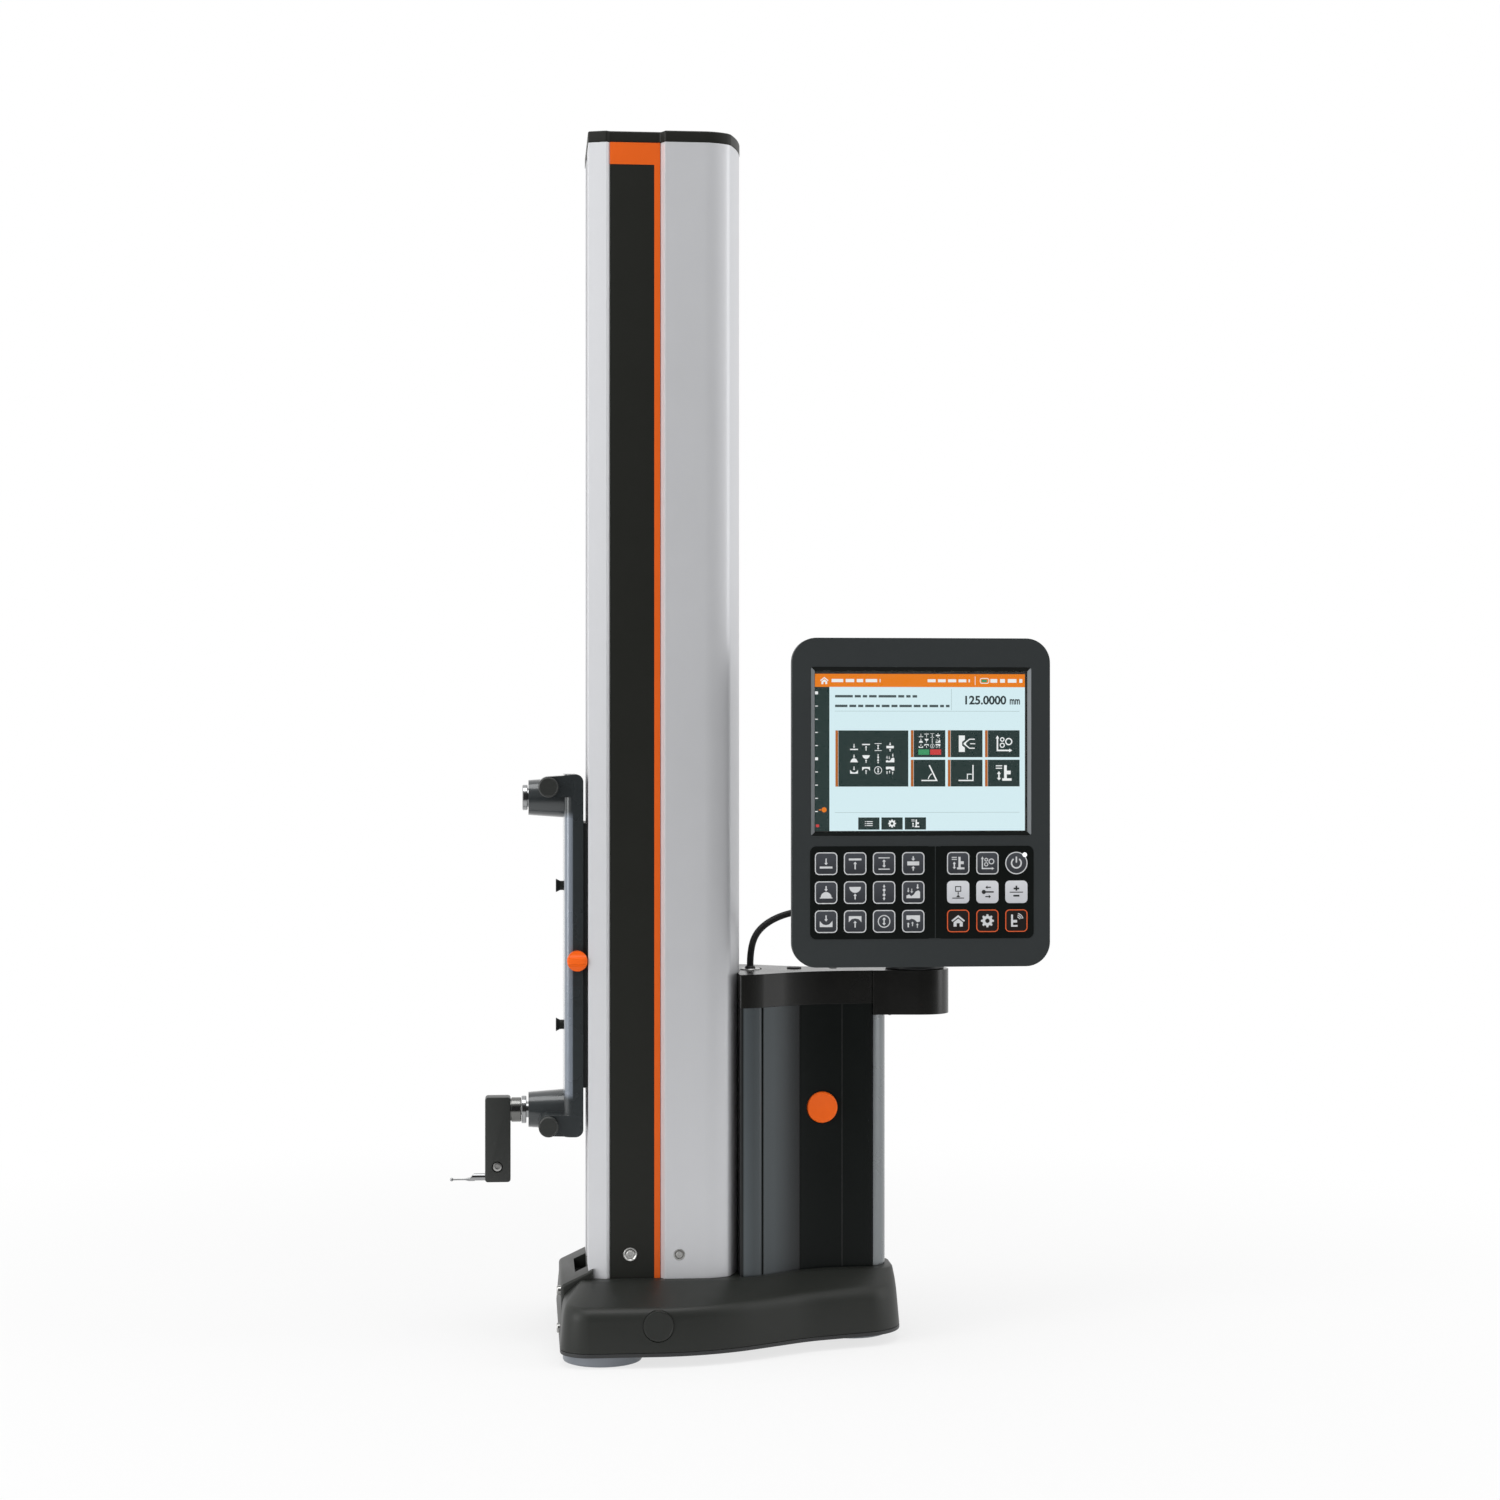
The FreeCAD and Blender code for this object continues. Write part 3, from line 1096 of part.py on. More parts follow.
def display_rear():
    inner_back = 0 - d.display_back - d.display_wall
    outer = prism("case_form", "XZ", [display_outline(d.case_inset)], -d.display_split, -d.display_back)
    room = prism("case_room", "XZ", [display_outline(d.case_inset + d.display_wall)],
                 0 - d.display_split - PAST, inner_back)
    board_back = d.board_thickness - d.board_front
    shell = cut("case_shell", outer, [room])
    parts = [shell]
    bores = []
    for x, z in post_places():
        parts.append(rod("case_post", d.post_radius, (x, inner_back + PAST, z),
                         inner_back + PAST - board_back, "-y"))
        bores.append(rod("case_sink", d.case_screw_head_radius + d.strip_clearance,
                         (x, -d.display_back - d.case_screw_head, z), d.case_screw_head + PAST, "+y"))
        bores.append(rod("case_bore", d.case_screw_radius + d.shaft_fit,
                         (x, PAST - d.display_back - d.case_screw_head, z),
                         d.case_screw_length + 2 * PAST, "-y"))
    lug_half = d.bracket_half_width - d.ear_thickness - d.running_gap
    wide = (d.swivel_x - lug_half, d.swivel_x + lug_half)
    parts.append(box("lug_arm", wide, (0 - d.display_back - PAST, -d.tilt_y),
                     (d.tilt_z - d.ear_radius, d.tilt_z + d.ear_radius)))
    parts.append(rod("lug_round", d.ear_radius, (wide[0], -d.tilt_y, d.tilt_z), 2 * lug_half, "+x"))
    bores.append(rod("lug_bore", d.pin_radius + d.shaft_fit, (wide[0] - PAST, -d.tilt_y, d.tilt_z),
                     2 * (lug_half + PAST), "+x"))
    node("display_rear_case", cut("display_rear_case", fuse("case_solid", parts), bores))


def display_board():
    margin = d.board_margin
    node("display_board", box(
        "display_board", (display_side + margin, display_side + d.display_width - margin),
        (-d.board_front, d.board_thickness - d.board_front), (d.display_bottom + margin, display_top - margin)))


def case_screws():
    seat = 0 - d.display_back - d.case_screw_head
    screws = [turned("case_screw", [
        (0, -d.case_screw_length), (d.case_screw_radius, -d.case_screw_length), (d.case_screw_radius, 0),
        (d.case_screw_head_radius, 0), (d.case_screw_head_radius, d.case_screw_head), (0, d.case_screw_head),
    ], (x, seat, z), "+y") for x, z in post_places()]
    node("case_screws", group("case_screws", screws))


base_casting()
base_plate()
feet()
side_plugs()
front_screws()
battery_pack()
air_pump()
column_core()
rail_and_scale()
column_covers()
column_strips()
cover_screws()
column_cap()
drive()
pulleys()
counterweight()
carriage()
slider_frame()
slider_pegs()
socket_ring("upper_socket_ring", upper_arm_z, d.upper_ring_tip, d.upper_ring_back,
            d.upper_ring_radius, d.upper_neck_radius)
socket_ring("lower_socket_ring", lower_arm_z, d.lower_ring_tip, d.lower_ring_back,
            d.lower_ring_radius, d.lower_neck_radius)
knobs()
probe_holder()
holder_screw()
stylus()
grip_frame()
grip_shells()
grip_head()
grip_button()
cable_gland()
display_cable()
swivel_base()
display_bracket()
display_front()
screen()
display_board()
display_rear()
case_screws()

doc.recompute()
failed = [thing.Name for thing in doc.Objects if "Invalid" in thing.State or "Error" in thing.State]
failed += [thing.Label for thing in nodes if thing.Shape.isNull() or not thing.Shape.isValid()]
if failed:
    raise RuntimeError("not built: " + ", ".join(failed))

os.makedirs("parts", exist_ok=True)
for thing in nodes:
    thing.Shape.exportStep(f"parts/{thing.Label}.step")
print(len(nodes), "sub-parts written")
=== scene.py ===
import json
import math

import bmesh
import bpy
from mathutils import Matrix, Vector

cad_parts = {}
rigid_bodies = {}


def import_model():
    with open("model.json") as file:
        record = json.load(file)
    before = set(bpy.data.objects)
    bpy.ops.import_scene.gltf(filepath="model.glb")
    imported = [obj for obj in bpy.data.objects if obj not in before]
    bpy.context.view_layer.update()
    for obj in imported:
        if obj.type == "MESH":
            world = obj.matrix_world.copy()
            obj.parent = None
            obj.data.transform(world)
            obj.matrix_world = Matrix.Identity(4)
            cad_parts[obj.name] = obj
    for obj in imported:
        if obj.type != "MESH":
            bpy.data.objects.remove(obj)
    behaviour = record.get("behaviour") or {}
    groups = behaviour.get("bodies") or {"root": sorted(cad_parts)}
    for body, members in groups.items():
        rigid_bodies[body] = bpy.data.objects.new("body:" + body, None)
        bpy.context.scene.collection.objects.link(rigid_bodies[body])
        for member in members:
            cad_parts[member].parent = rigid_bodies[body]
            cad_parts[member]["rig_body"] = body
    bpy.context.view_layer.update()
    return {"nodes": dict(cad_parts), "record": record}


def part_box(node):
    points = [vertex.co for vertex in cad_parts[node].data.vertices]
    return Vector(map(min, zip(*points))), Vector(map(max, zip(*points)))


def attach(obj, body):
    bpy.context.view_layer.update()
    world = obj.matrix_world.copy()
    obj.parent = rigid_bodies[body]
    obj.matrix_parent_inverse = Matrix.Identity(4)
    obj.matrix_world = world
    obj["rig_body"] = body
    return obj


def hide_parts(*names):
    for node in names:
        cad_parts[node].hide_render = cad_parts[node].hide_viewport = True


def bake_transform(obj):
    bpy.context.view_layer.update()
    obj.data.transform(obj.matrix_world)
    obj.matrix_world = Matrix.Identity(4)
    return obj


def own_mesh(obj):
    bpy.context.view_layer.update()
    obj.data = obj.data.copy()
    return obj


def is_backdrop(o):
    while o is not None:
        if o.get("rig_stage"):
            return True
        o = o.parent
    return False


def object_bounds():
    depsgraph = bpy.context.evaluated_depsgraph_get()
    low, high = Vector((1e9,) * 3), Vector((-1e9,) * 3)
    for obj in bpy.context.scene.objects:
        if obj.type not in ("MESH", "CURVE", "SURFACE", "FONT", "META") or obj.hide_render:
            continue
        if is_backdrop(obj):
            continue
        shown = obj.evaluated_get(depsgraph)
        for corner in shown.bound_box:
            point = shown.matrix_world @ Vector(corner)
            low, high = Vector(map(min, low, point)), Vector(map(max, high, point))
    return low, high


# Looks for the height gauge. Lengths in the dictionaries are millimetres, colours are screen values up to 255.

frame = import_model()
nodes = frame["nodes"]
slotOf = {part["node"]: part["material_slot"] for part in frame["record"]["subparts"]}
mm = 0.001


# Selecting and editing

def clear():
    if bpy.context.object and bpy.context.object.mode == "EDIT":
        bpy.ops.object.mode_set(mode="OBJECT")
    bpy.ops.object.select_all(action="DESELECT")


def only(piece):
    clear()
    piece.select_set(True)
    bpy.context.view_layer.objects.active = piece


def edit(piece):
    only(piece)
    bpy.ops.object.mode_set(mode="EDIT")
    bpy.ops.mesh.select_mode(type="VERT")
    bpy.ops.mesh.select_all(action="SELECT")


def leave():
    bpy.ops.object.mode_set(mode="OBJECT")


def named(name):
    piece = bpy.context.object
    piece.name = piece.data.name = name
    return piece


def settle(piece):
    only(piece)
    bpy.ops.object.transform_apply(location=True, rotation=True, scale=True)
    return piece


def pick(kind, test):
    bpy.ops.mesh.select_mode(type=kind)
    bpy.ops.mesh.select_all(action="DESELECT")
    data = bpy.context.object.data
    shape = bmesh.from_edit_mesh(data)
    for part in {"VERT": shape.verts, "EDGE": shape.edges, "FACE": shape.faces}[kind]:
        if test(part):
            part.select_set(True)
    shape.select_flush_mode()
    bmesh.update_edit_mesh(data)


def inPlane(axis, value, slack=0.02):
    index = "xyz".index(axis)
    return lambda part: all(abs(corner.co[index] / mm - value) < slack for corner in part.verts)


def along(axis):
    index = "xyz".index(axis)

    def test(edge):
        run = edge.verts[1].co - edge.verts[0].co
        return abs(run[index]) > 0.999 * run.length
    return test


def roundEdges(piece, test, radius, steps):
    edit(piece)
    pick("EDGE", test)
    bpy.ops.mesh.bevel(offset=radius * mm, segments=steps, profile=0.5, affect="EDGES")
    leave()


def tidyMesh(piece):
    edit(piece)
    bpy.ops.mesh.remove_doubles(threshold=1e-6)
    bpy.ops.mesh.normals_make_consistent(inside=False)
    leave()


def modify(piece, kind, **settings):
    only(piece)
    modifier = piece.modifiers.new(kind.lower(), kind)
    for key, value in settings.items():
        setattr(modifier, key, value)
    bpy.ops.object.modifier_apply(modifier=modifier.name)


def soften(piece, width, steps=2):
    modify(piece, "BEVEL", width=width * mm, segments=steps, limit_method="ANGLE",
           angle_limit=math.radians(30), harden_normals=False, use_clamp_overlap=True)


def smooth(piece, angle=35):
    only(piece)
    bpy.ops.object.shade_smooth_by_angle(angle=math.radians(angle))


def carve(piece, *tools, how="DIFFERENCE"):
    for tool in tools:
        modify(piece, "BOOLEAN", operation=how, object=tool, solver="EXACT")
        bpy.data.objects.remove(tool)


def joined(name, pieces):
    only(pieces[0])
    for piece in pieces:
        piece.select_set(True)
    if len(pieces) > 1:
        bpy.ops.object.join()
    return named(name)


# Shapes to start from

def block(name, x, y, z):
    clear()
    bpy.ops.mesh.primitive_cube_add(
        size=1, location=[(low + high) / 2 * mm for low, high in (x, y, z)],
        scale=[(high - low) * mm for low, high in (x, y, z)])
    return settle(named(name))


turns = {"+z": (0, 0, 0), "-z": (180, 0, 0), "-y": (90, 0, 0), "+y": (-90, 0, 0), "+x": (0, 90, 0), "-x": (0, -90, 0)}
bothSides = ((-1, "-y"), (1, "+y"))


def put(piece, at, facing="+z"):
    piece.location = Vector(at) * mm
    piece.rotation_euler = [math.radians(angle) for angle in turns[facing]]
    return settle(piece)


def turned(name, profile, at=(0, 0, 0), facing="+z", steps=64):
    # one vertex is drawn along the profile of (radius, height) and spun round its axis
    clear()
    bpy.ops.mesh.primitive_plane_add(size=mm)
    piece = named(name)
    edit(piece)
    bpy.ops.mesh.merge(type="CENTER")
    place = Vector((0, 0, 0))
    for index, (radius, height) in enumerate(profile):
        step = Vector((radius, 0, height)) * mm - place
        if index:
            bpy.ops.mesh.extrude_region_move(TRANSFORM_OT_translate={"value": step})
        else:
            bpy.ops.transform.translate(value=step)
        place += step
    bpy.ops.mesh.select_all(action="SELECT")
    bpy.ops.mesh.spin(steps=steps, angle=math.tau, center=(0, 0, 0), axis=(0, 0, 1))
    leave()
    tidyMesh(piece)
    return put(piece, at, facing)


def rod(name, radius, length, at, facing="+z", steps=64):
    # a plain cylinder that starts at a point and runs the way it faces
    clear()
    bpy.ops.mesh.primitive_cylinder_add(vertices=steps, radius=radius * mm, depth=length * mm,
                                        location=(0, 0, length / 2 * mm))
    piece = settle(named(name))
    return put(piece, at, facing)


def spread(name, model, places):
    # copies of one model, each with its own mesh, joined as one piece
    copies = []
    for at, facing in places:
        copy = model.copy()
        copy.data = model.data.copy()
        bpy.context.scene.collection.objects.link(copy)
        copies.append(put(copy, at, facing))
    bpy.data.objects.remove(model)
    return joined(name, copies)


def socketHead(name, profile, key, depth, top):
    # a turned screw with a six-sided socket in its head
    screw = turned(name, profile, steps=48)
    carve(screw, rod("keyTool", key, depth + 2, (0, 0, top - depth), steps=6))
    return screw


def copyOf(node, crease=0.5):
    # a node's mesh as clean faces, ready for edges of its own
    first, *rest = node.split("_")
    piece = bpy.data.objects.new(first + "".join(word.capitalize() for word in rest), nodes[node].data.copy())
    bpy.context.scene.collection.objects.link(piece)
    edit(piece)
    bpy.ops.mesh.remove_doubles(threshold=2e-6)
    bpy.ops.mesh.dissolve_limited(angle_limit=math.radians(crease))
    leave()
    return piece


def finishPiece(piece, body, material, angle=35):
    smooth(piece, angle)
    piece.data.materials.clear()
    piece.data.materials.append(material)
    if body:
        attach(piece, body)
    return piece


def fit(piece, *replaced, look=None, angle=25):
    # a piece in the place of nodes, with their body and the finish of their slot, or the look given
    slot = slotOf[replaced[0]]
    finishPiece(piece, nodes[replaced[0]]["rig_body"], finishes[look or slot], angle)
    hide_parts(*replaced)
    return piece


def dress(node, width, look=None):
    # a node's own shape with rounded edges
    piece = copyOf(node)
    soften(piece, width)
    fit(piece, node, look=look, angle=35)
    modify(piece, "WEIGHTED_NORMAL", keep_sharp=True)  # large faces shade level up to their rounded edges
    return piece


def roundedOutline(points, steps):
    # the points of a closed outline whose corners (x, y, radius) are rounded, as many for each corner
    line = []
    for index, (x, y, radius) in enumerate(points):
        spot = Vector((x, y))
        before = (Vector(points[index - 1][:2]) - spot).normalized()
        after = (Vector(points[(index + 1) % len(points)][:2]) - spot).normalized()
        half = before.angle(after) / 2
        first, last = spot + before * radius / math.tan(half), spot + after * radius / math.tan(half)
        middle = spot + (before + after).normalized() * radius / math.sin(half)
        a, b = first - middle, last - middle
        sweep = a.angle_signed(b)
        for step in range(steps + 1):
            turn = -sweep * step / steps
            line.append(middle + Vector((a.x * math.cos(turn) - a.y * math.sin(turn),
                                         a.x * math.sin(turn) + a.y * math.cos(turn))))
    return line


def lofted(name, rings):
    # closed rings of equally many points, joined from the lowest to the highest and capped
    count = len(rings[0])
    points = [Vector(point) * mm for ring in rings for point in ring]
    faces = [(level * count + side, level * count + (side + 1) % count,
              (level + 1) * count + (side + 1) % count, (level + 1) * count + side)
             for level in range(len(rings) - 1) for side in range(count)]
    faces += [tuple(range(count))[::-1], tuple(range((len(rings) - 1) * count, len(rings) * count))]
    data = bpy.data.meshes.new(name)
    data.from_pydata(points, [], faces)
    piece = bpy.data.objects.new(name, data)
    bpy.context.scene.collection.objects.link(piece)
    tidyMesh(piece)
    return piece


# Materials

def tint(red, green, blue):
    def linear(value):
        value /= 255
        return value / 12.92 if value <= 0.04045 else ((value + 0.055) / 1.055) ** 2.4
    return linear(red), linear(green), linear(blue), 1.0


class Wire:
    # one output of a shader node, so that sums on it add their Math nodes
    def __init__(self, tree, socket=None):
        self.tree = tree
        self.socket = socket

    def node(self, kind, settings=None, sockets=None, out=0):
        made = self.tree.nodes.new("ShaderNode" + kind)
        for key, value in (settings or {}).items():
            if key == "stops":
                for index, (place, colour) in enumerate(value):
                    stop = made.color_ramp.elements[index] if index < 2 else made.color_ramp.elements.new(place)
                    stop.position, stop.color = place, colour
            else:
                setattr(made, key, value)
        for key, value in (sockets or {}).items():
            if isinstance(value, Wire):
                self.tree.links.new(value.socket, made.inputs[key])
            else:
                made.inputs[key].default_value = value
        return Wire(self.tree, made.outputs[out]) if made.outputs else made

    def maths(self, operation, first, second):
        return self.node("Math", {"operation": operation}, {0: first, 1: second})

    def __add__(self, other):
        return self.maths("ADD", self, other)

    def __radd__(self, other):
        return self.maths("ADD", other, self)

    def __sub__(self, other):
        return self.maths("SUBTRACT", self, other)

    def __rsub__(self, other):
        return self.maths("SUBTRACT", other, self)

    def __mul__(self, other):
        return self.maths("MULTIPLY", self, other)

    def __rmul__(self, other):
        return self.maths("MULTIPLY", other, self)

    def output(self, key):
        return Wire(self.tree, self.socket.node.outputs[key])

    def rising(self, low, high):
        # from 0 at the low value to 1 at the high one, with a soft start and end
        return self.node("MapRange", {"interpolation_type": "SMOOTHSTEP"}, {
            "Value": self, "From Min": low, "From Max": high})

    def mixed(self, low, high):
        return self.node("Mix", {"data_type": "RGBA"}, {0: self, 6: low, 7: high}, out=2)

    def place(self):
        # the three parts of the place on the object, in metres
        return self.node("SeparateXYZ", None, {0: self.node("TexCoord", out="Object")})

    def noise(self, size, detail=3.0, stretch=(1, 1, 1)):
        place = self.node("TexCoord", out="Object")
        place = self.node("Mapping", None, {"Vector": place, "Scale": stretch})
        return self.node("TexNoise", None, {"Vector": place, "Scale": 1 / (size * mm), "Detail": detail})

    def relief(self, height, depth):
        return self.node("Bump", None, {"Strength": 1.0, "Distance": depth * mm, "Height": height})

    def scaled(self, factor):
        return self.node("VectorMath", {"operation": "SCALE"}, {0: self, "Scale": factor})


def newMaterial(name):
    material = bpy.data.materials.new(name)
    material.use_nodes = True
    material.node_tree.nodes.clear()
    return material, Wire(material.node_tree)


def shaded(material, wire, values):
    wire.node("OutputMaterial", None, {"Surface": wire.node("BsdfPrincipled", None, values)})
    return material


def surface(name, colour, rough, metal=0.0, drift=0.05, roughDrift=0.05, size=30, stretch=(1, 1, 1),
            grain=0.0, grainSize=0.5, grainStretch=(1, 1, 1), fleck=0.0, shine=0.5):
    # a colour and gloss that drift over the surface, with a fine grain in its relief and its tone
    material, wire = newMaterial(name)
    cloud = wire.noise(size, 3.0, stretch)
    fine = wire.noise(grainSize, 2.0, grainStretch)
    base = tint(*colour)
    tone = cloud * (1 - fleck) + fine * fleck
    low = tuple(part * (1 - drift) for part in base[:3]) + (1.0,)
    high = tuple(min(1.0, part * (1 + drift)) for part in base[:3]) + (1.0,)
    values = {"Base Color": tone.mixed(low, high), "Roughness": tone * (2 * roughDrift) + (rough - roughDrift),
              "Metallic": metal, "Specular IOR Level": shine}
    if grain:
        values["Normal"] = wire.relief(fine, grain)
    return shaded(material, wire, values)


def glow(name, colour, strength=1.0):
    # a part of the lit screen, with a faint grain of its dots
    material, wire = newMaterial(name)
    dots = wire.noise(0.6, 1.0)
    base = tint(*colour)
    low = tuple(part * 0.97 for part in base[:3]) + (1.0,)
    return shaded(material, wire, {
        "Base Color": (0.002, 0.002, 0.002, 1), "Roughness": 0.6, "Emission Color": dots.mixed(low, base),
        "Emission Strength": strength, "Specular IOR Level": 0.0})


finishes = {
    "base_paint": surface("basePaint", (36, 38, 35), 0.45, grain=0.03, grainSize=0.7, drift=0.06, fleck=0.4,
                          shine=0.32),
    "plate_steel": surface("plateSteel", (40, 41, 42), 0.5, grain=0.02, drift=0.08),
    "foot_polymer": surface("footMetal", (134, 139, 146), 0.4, metal=0.35, grain=0.01, stretch=(1, 1, 8)),
    "column_satin": surface("coverSatin", (214, 215, 218), 0.42, metal=0.35, drift=0.02, roughDrift=0.03,
                            grain=0.006, grainSize=0.35, grainStretch=(1, 1, 0.02), fleck=0.3),
    "core_metal": surface("coreMetal", (186, 188, 190), 0.4, metal=0.9, stretch=(1, 1, 0.05), grain=0.004),
    "black_plastic": surface("labelBlack", (31, 32, 28), 0.46, grain=0.015, grainSize=0.4, drift=0.08, fleck=0.5,
                             shine=0.25),
    "black_gloss": surface("panelBlack", (20, 23, 22), 0.34, grain=0.006, drift=0.1, shine=0.1),
    # painted reflection: the pale grey of the window frame's side slopes stands in for the side lamps' reflection
    "rim": surface("rimGrey", (146, 151, 154), 0.3, metal=0.7, grain=0.003),
    "head": surface("headBlack", (22, 22, 20), 0.26, grain=0.004, drift=0.1),
    "rear_cap_gray": surface("rearCapGrey", (122, 126, 128), 0.28, metal=0.6, grain=0.004),
    "trim": surface("trimOrange", (228, 96, 20), 0.4, grain=0.004, drift=0.04, shine=0.25),
    "orange_plastic": surface("orangePlastic", (252, 104, 18), 0.38, grain=0.006, drift=0.04, shine=0.25),
    "display_gray": surface("bezelGrey", (50, 54, 55), 0.5, grain=0.03, grainSize=0.45, drift=0.14, fleck=0.8,
                            shine=0.25),
    "steel": surface("steel", (176, 176, 174), 0.28, metal=1.0, grain=0.003, stretch=(1, 1, 0.1)),
    "chrome": surface("chrome", (158, 159, 160), 0.14, metal=1.0, roughDrift=0.03),
    "dark_metal": surface("darkMetal", (45, 47, 45), 0.42, metal=0.1, grain=0.01),
    "black_anodised": surface("blackAnodised", (30, 32, 33), 0.4, metal=0.4, grain=0.006),
    "cast_weight": surface("castWeight", (70, 70, 70), 0.7, grain=0.08, grainSize=1.5),
    "rubber": surface("rubber", (26, 26, 26), 0.6, grain=0.012),
    "motor_paint": surface("motorPaint", (40, 40, 40), 0.45, grain=0.01),
    "battery_wrap": surface("batteryWrap", (42, 60, 110), 0.4, grain=0.006),
    "board_green": surface("boardGreen", (20, 96, 52), 0.4, grain=0.01, drift=0.15),
    "scale_tape": surface("scaleTape", (190, 176, 130), 0.25, metal=1.0, grain=0.002),
    "brushed": surface("brushedCollar", (116, 116, 114), 0.2, metal=1.0, drift=0.12, size=0.6, stretch=(0.05, 1, 1)),
}


def glassMaterial():
    material, wire = newMaterial("screenGlass")
    return shaded(material, wire, {
        "Base Color": (1, 1, 1, 1), "Roughness": wire.noise(40) * 0.03, "Transmission Weight": 1.0, "IOR": 1.3,
        "Specular IOR Level": 0.08})


# tone shares along the grip shell: painted shade at the front edge, a painted highlight behind it, painted shade
# towards the black panel
shellLightAndShade = {"tone": (72, 78, 81), "x": (60, 120), "stops": [(0, 0.25), (0.045, 0.25), (0.07, 1.2), (0.2, 1), (0.5, 0.96),
                                                         (0.75, 0.6), (0.88, 0.36)]}


def shellPaintedLightMaterial():
    # the shell's grey carries painted light and shade along its length: painted shade at its front edge, a painted
    # highlight just behind it, and painted shade growing towards the black panel
    material, wire = newMaterial("shellGrey")
    cloud = wire.noise(30, 3.0, (1, 1, 0.1))
    tones = [(place, tint(*(value * share for value in shellLightAndShade["tone"]))) for place, share in shellLightAndShade["stops"]]
    start, end = shellLightAndShade["x"]
    ramp = wire.node("ValToRGB", {"stops": tones}, {0: (wire.place() * (1 / mm) - start) * (1 / (end - start))})
    return shaded(material, wire, {"Base Color": ramp.scaled(cloud * 0.1 + 0.95), "Roughness": cloud * 0.1 + 0.31,
                                   "Metallic": 0.3})


# the paler, bluer tone on the bar's front is a painted highlight
slateAndHighlight = {"plain": (50, 55, 57), "bar": (130, 138, 149), "x": (-84.5, -83.0, -77.2, -76.0), "z": (203, 209, 434, 442)}


def frameWithPaintedHighlight():
    # slate paint, with a painted highlight: the front of the upright bar between the arms is painted paler and bluer
    # where it catches the left lamp
    material, wire = newMaterial("frameSlate")
    place = wire.place()
    bar = 1
    for value, key in ((place * (1 / mm), "x"), (place.output("Z") * (1 / mm), "z")):
        start, full, last, end = slateAndHighlight[key]
        bar = value.rising(start, full) * (1 - value.rising(last, end)) * bar
    cloud = wire.noise(30)
    base = bar.mixed(tint(*slateAndHighlight["plain"]), tint(*slateAndHighlight["bar"])).scaled(cloud * 0.1 + 0.95)
    return shaded(material, wire, {
        "Base Color": base, "Roughness": cloud * 0.1 + 0.23, "Metallic": 0.25, "Coat Weight": 0.8,
        "Coat Roughness": 0.1, "Normal": wire.relief(wire.noise(0.8, 2.0), 0.004)})


finishes["grip_gray"] = shellPaintedLightMaterial()
finishes["frame_metal"] = frameWithPaintedHighlight()
finishes["screen_glass"] = glassMaterial()
for name, node in nodes.items():
    node.data.materials.clear()
    node.data.materials.append(finishes[slotOf[name]])
print("materials made")


# Camera, light and floor

view = {"place": (-121.4, -2229.8, 492.0), "turn": -5.0, "lens": 63.6}
clear()
bpy.ops.object.camera_add(location=Vector(view["place"]) * mm,
                          rotation=(math.radians(90), 0, math.radians(view["turn"])))
camera = bpy.context.object
camera.data.lens = view["lens"]
camera.data.sensor_width = 36
camera.data.clip_end = 50
bpy.context.scene.camera = camera
bpy.context.scene.view_settings.view_transform = "Standard"

light = {"left": 32.0, "right": 13.6, "top": 24.0, "sky": 0.5, "dark": 0.05, "darkTo": -0.86, "brightFrom": -0.3,
         "leftFrom": 0.1, "leftTo": 0.32}


def softbox(name, at, towards, size, power):
    clear()
    bpy.ops.object.light_add(type="AREA", location=at)
    lamp = bpy.context.object
    lamp.name = name
    lamp.data.shape = "RECTANGLE"
    lamp.data.size, lamp.data.size_y = size
    lamp.data.energy = power
    lamp.rotation_euler = (Vector(towards) - Vector(at)).to_track_quat("-Z", "Y").to_euler()
    lamp.visible_camera = False


softbox("boxLeft", (-2.4, -1.2, 1.2), (0, 0, 0.5), (1.2, 2.4), light["left"])
softbox("boxRight", (2.6, -0.45, 1.1), (0.1, 0, 0.45), (1.0, 2.4), light["right"])
softbox("boxTop", (0.1, -0.4, 2.6), (0.05, 0, 0.3), (1.8, 1.4), light["top"])


def makeWorld():
    world = bpy.data.worlds.new("studio")
    bpy.context.scene.world = world
    world.use_nodes = True
    world.node_tree.nodes.clear()
    wire = Wire(world.node_tree)
    seen = wire.node("LightPath", out="Is Camera Ray")
    glossy, through = seen.output("Is Glossy Ray"), seen.output("Is Transmission Ray")
    way = wire.node("SeparateXYZ", None, {0: wire.node("TexCoord", out="Generated")})
    # what shines is dark only straight towards the side that the camera stands on, and lit again left of it
    back = way.output("Y").rising(light["darkTo"], light["brightFrom"])
    left = (0 - way).rising(light["leftFrom"], light["leftTo"])
    shiny = 1 - (1 - back) * (1 - left) * (1 - light["dark"])
    level = seen + through + (1 - seen - through) * (glossy * shiny + (1 - glossy) * light["sky"])
    ground = wire.node("Background", None, {"Color": (1, 1, 1, 1), "Strength": level})
    wire.node("OutputWorld", None, {"Surface": ground})


makeWorld()

floorLook = {"size": 40000, "near": 300.0, "far": 1200.0, "tone": (246, 246, 246), "white": 0.74,
             "dimFrom": -300.0, "dimTo": -1500.0, "dim": 0.06}


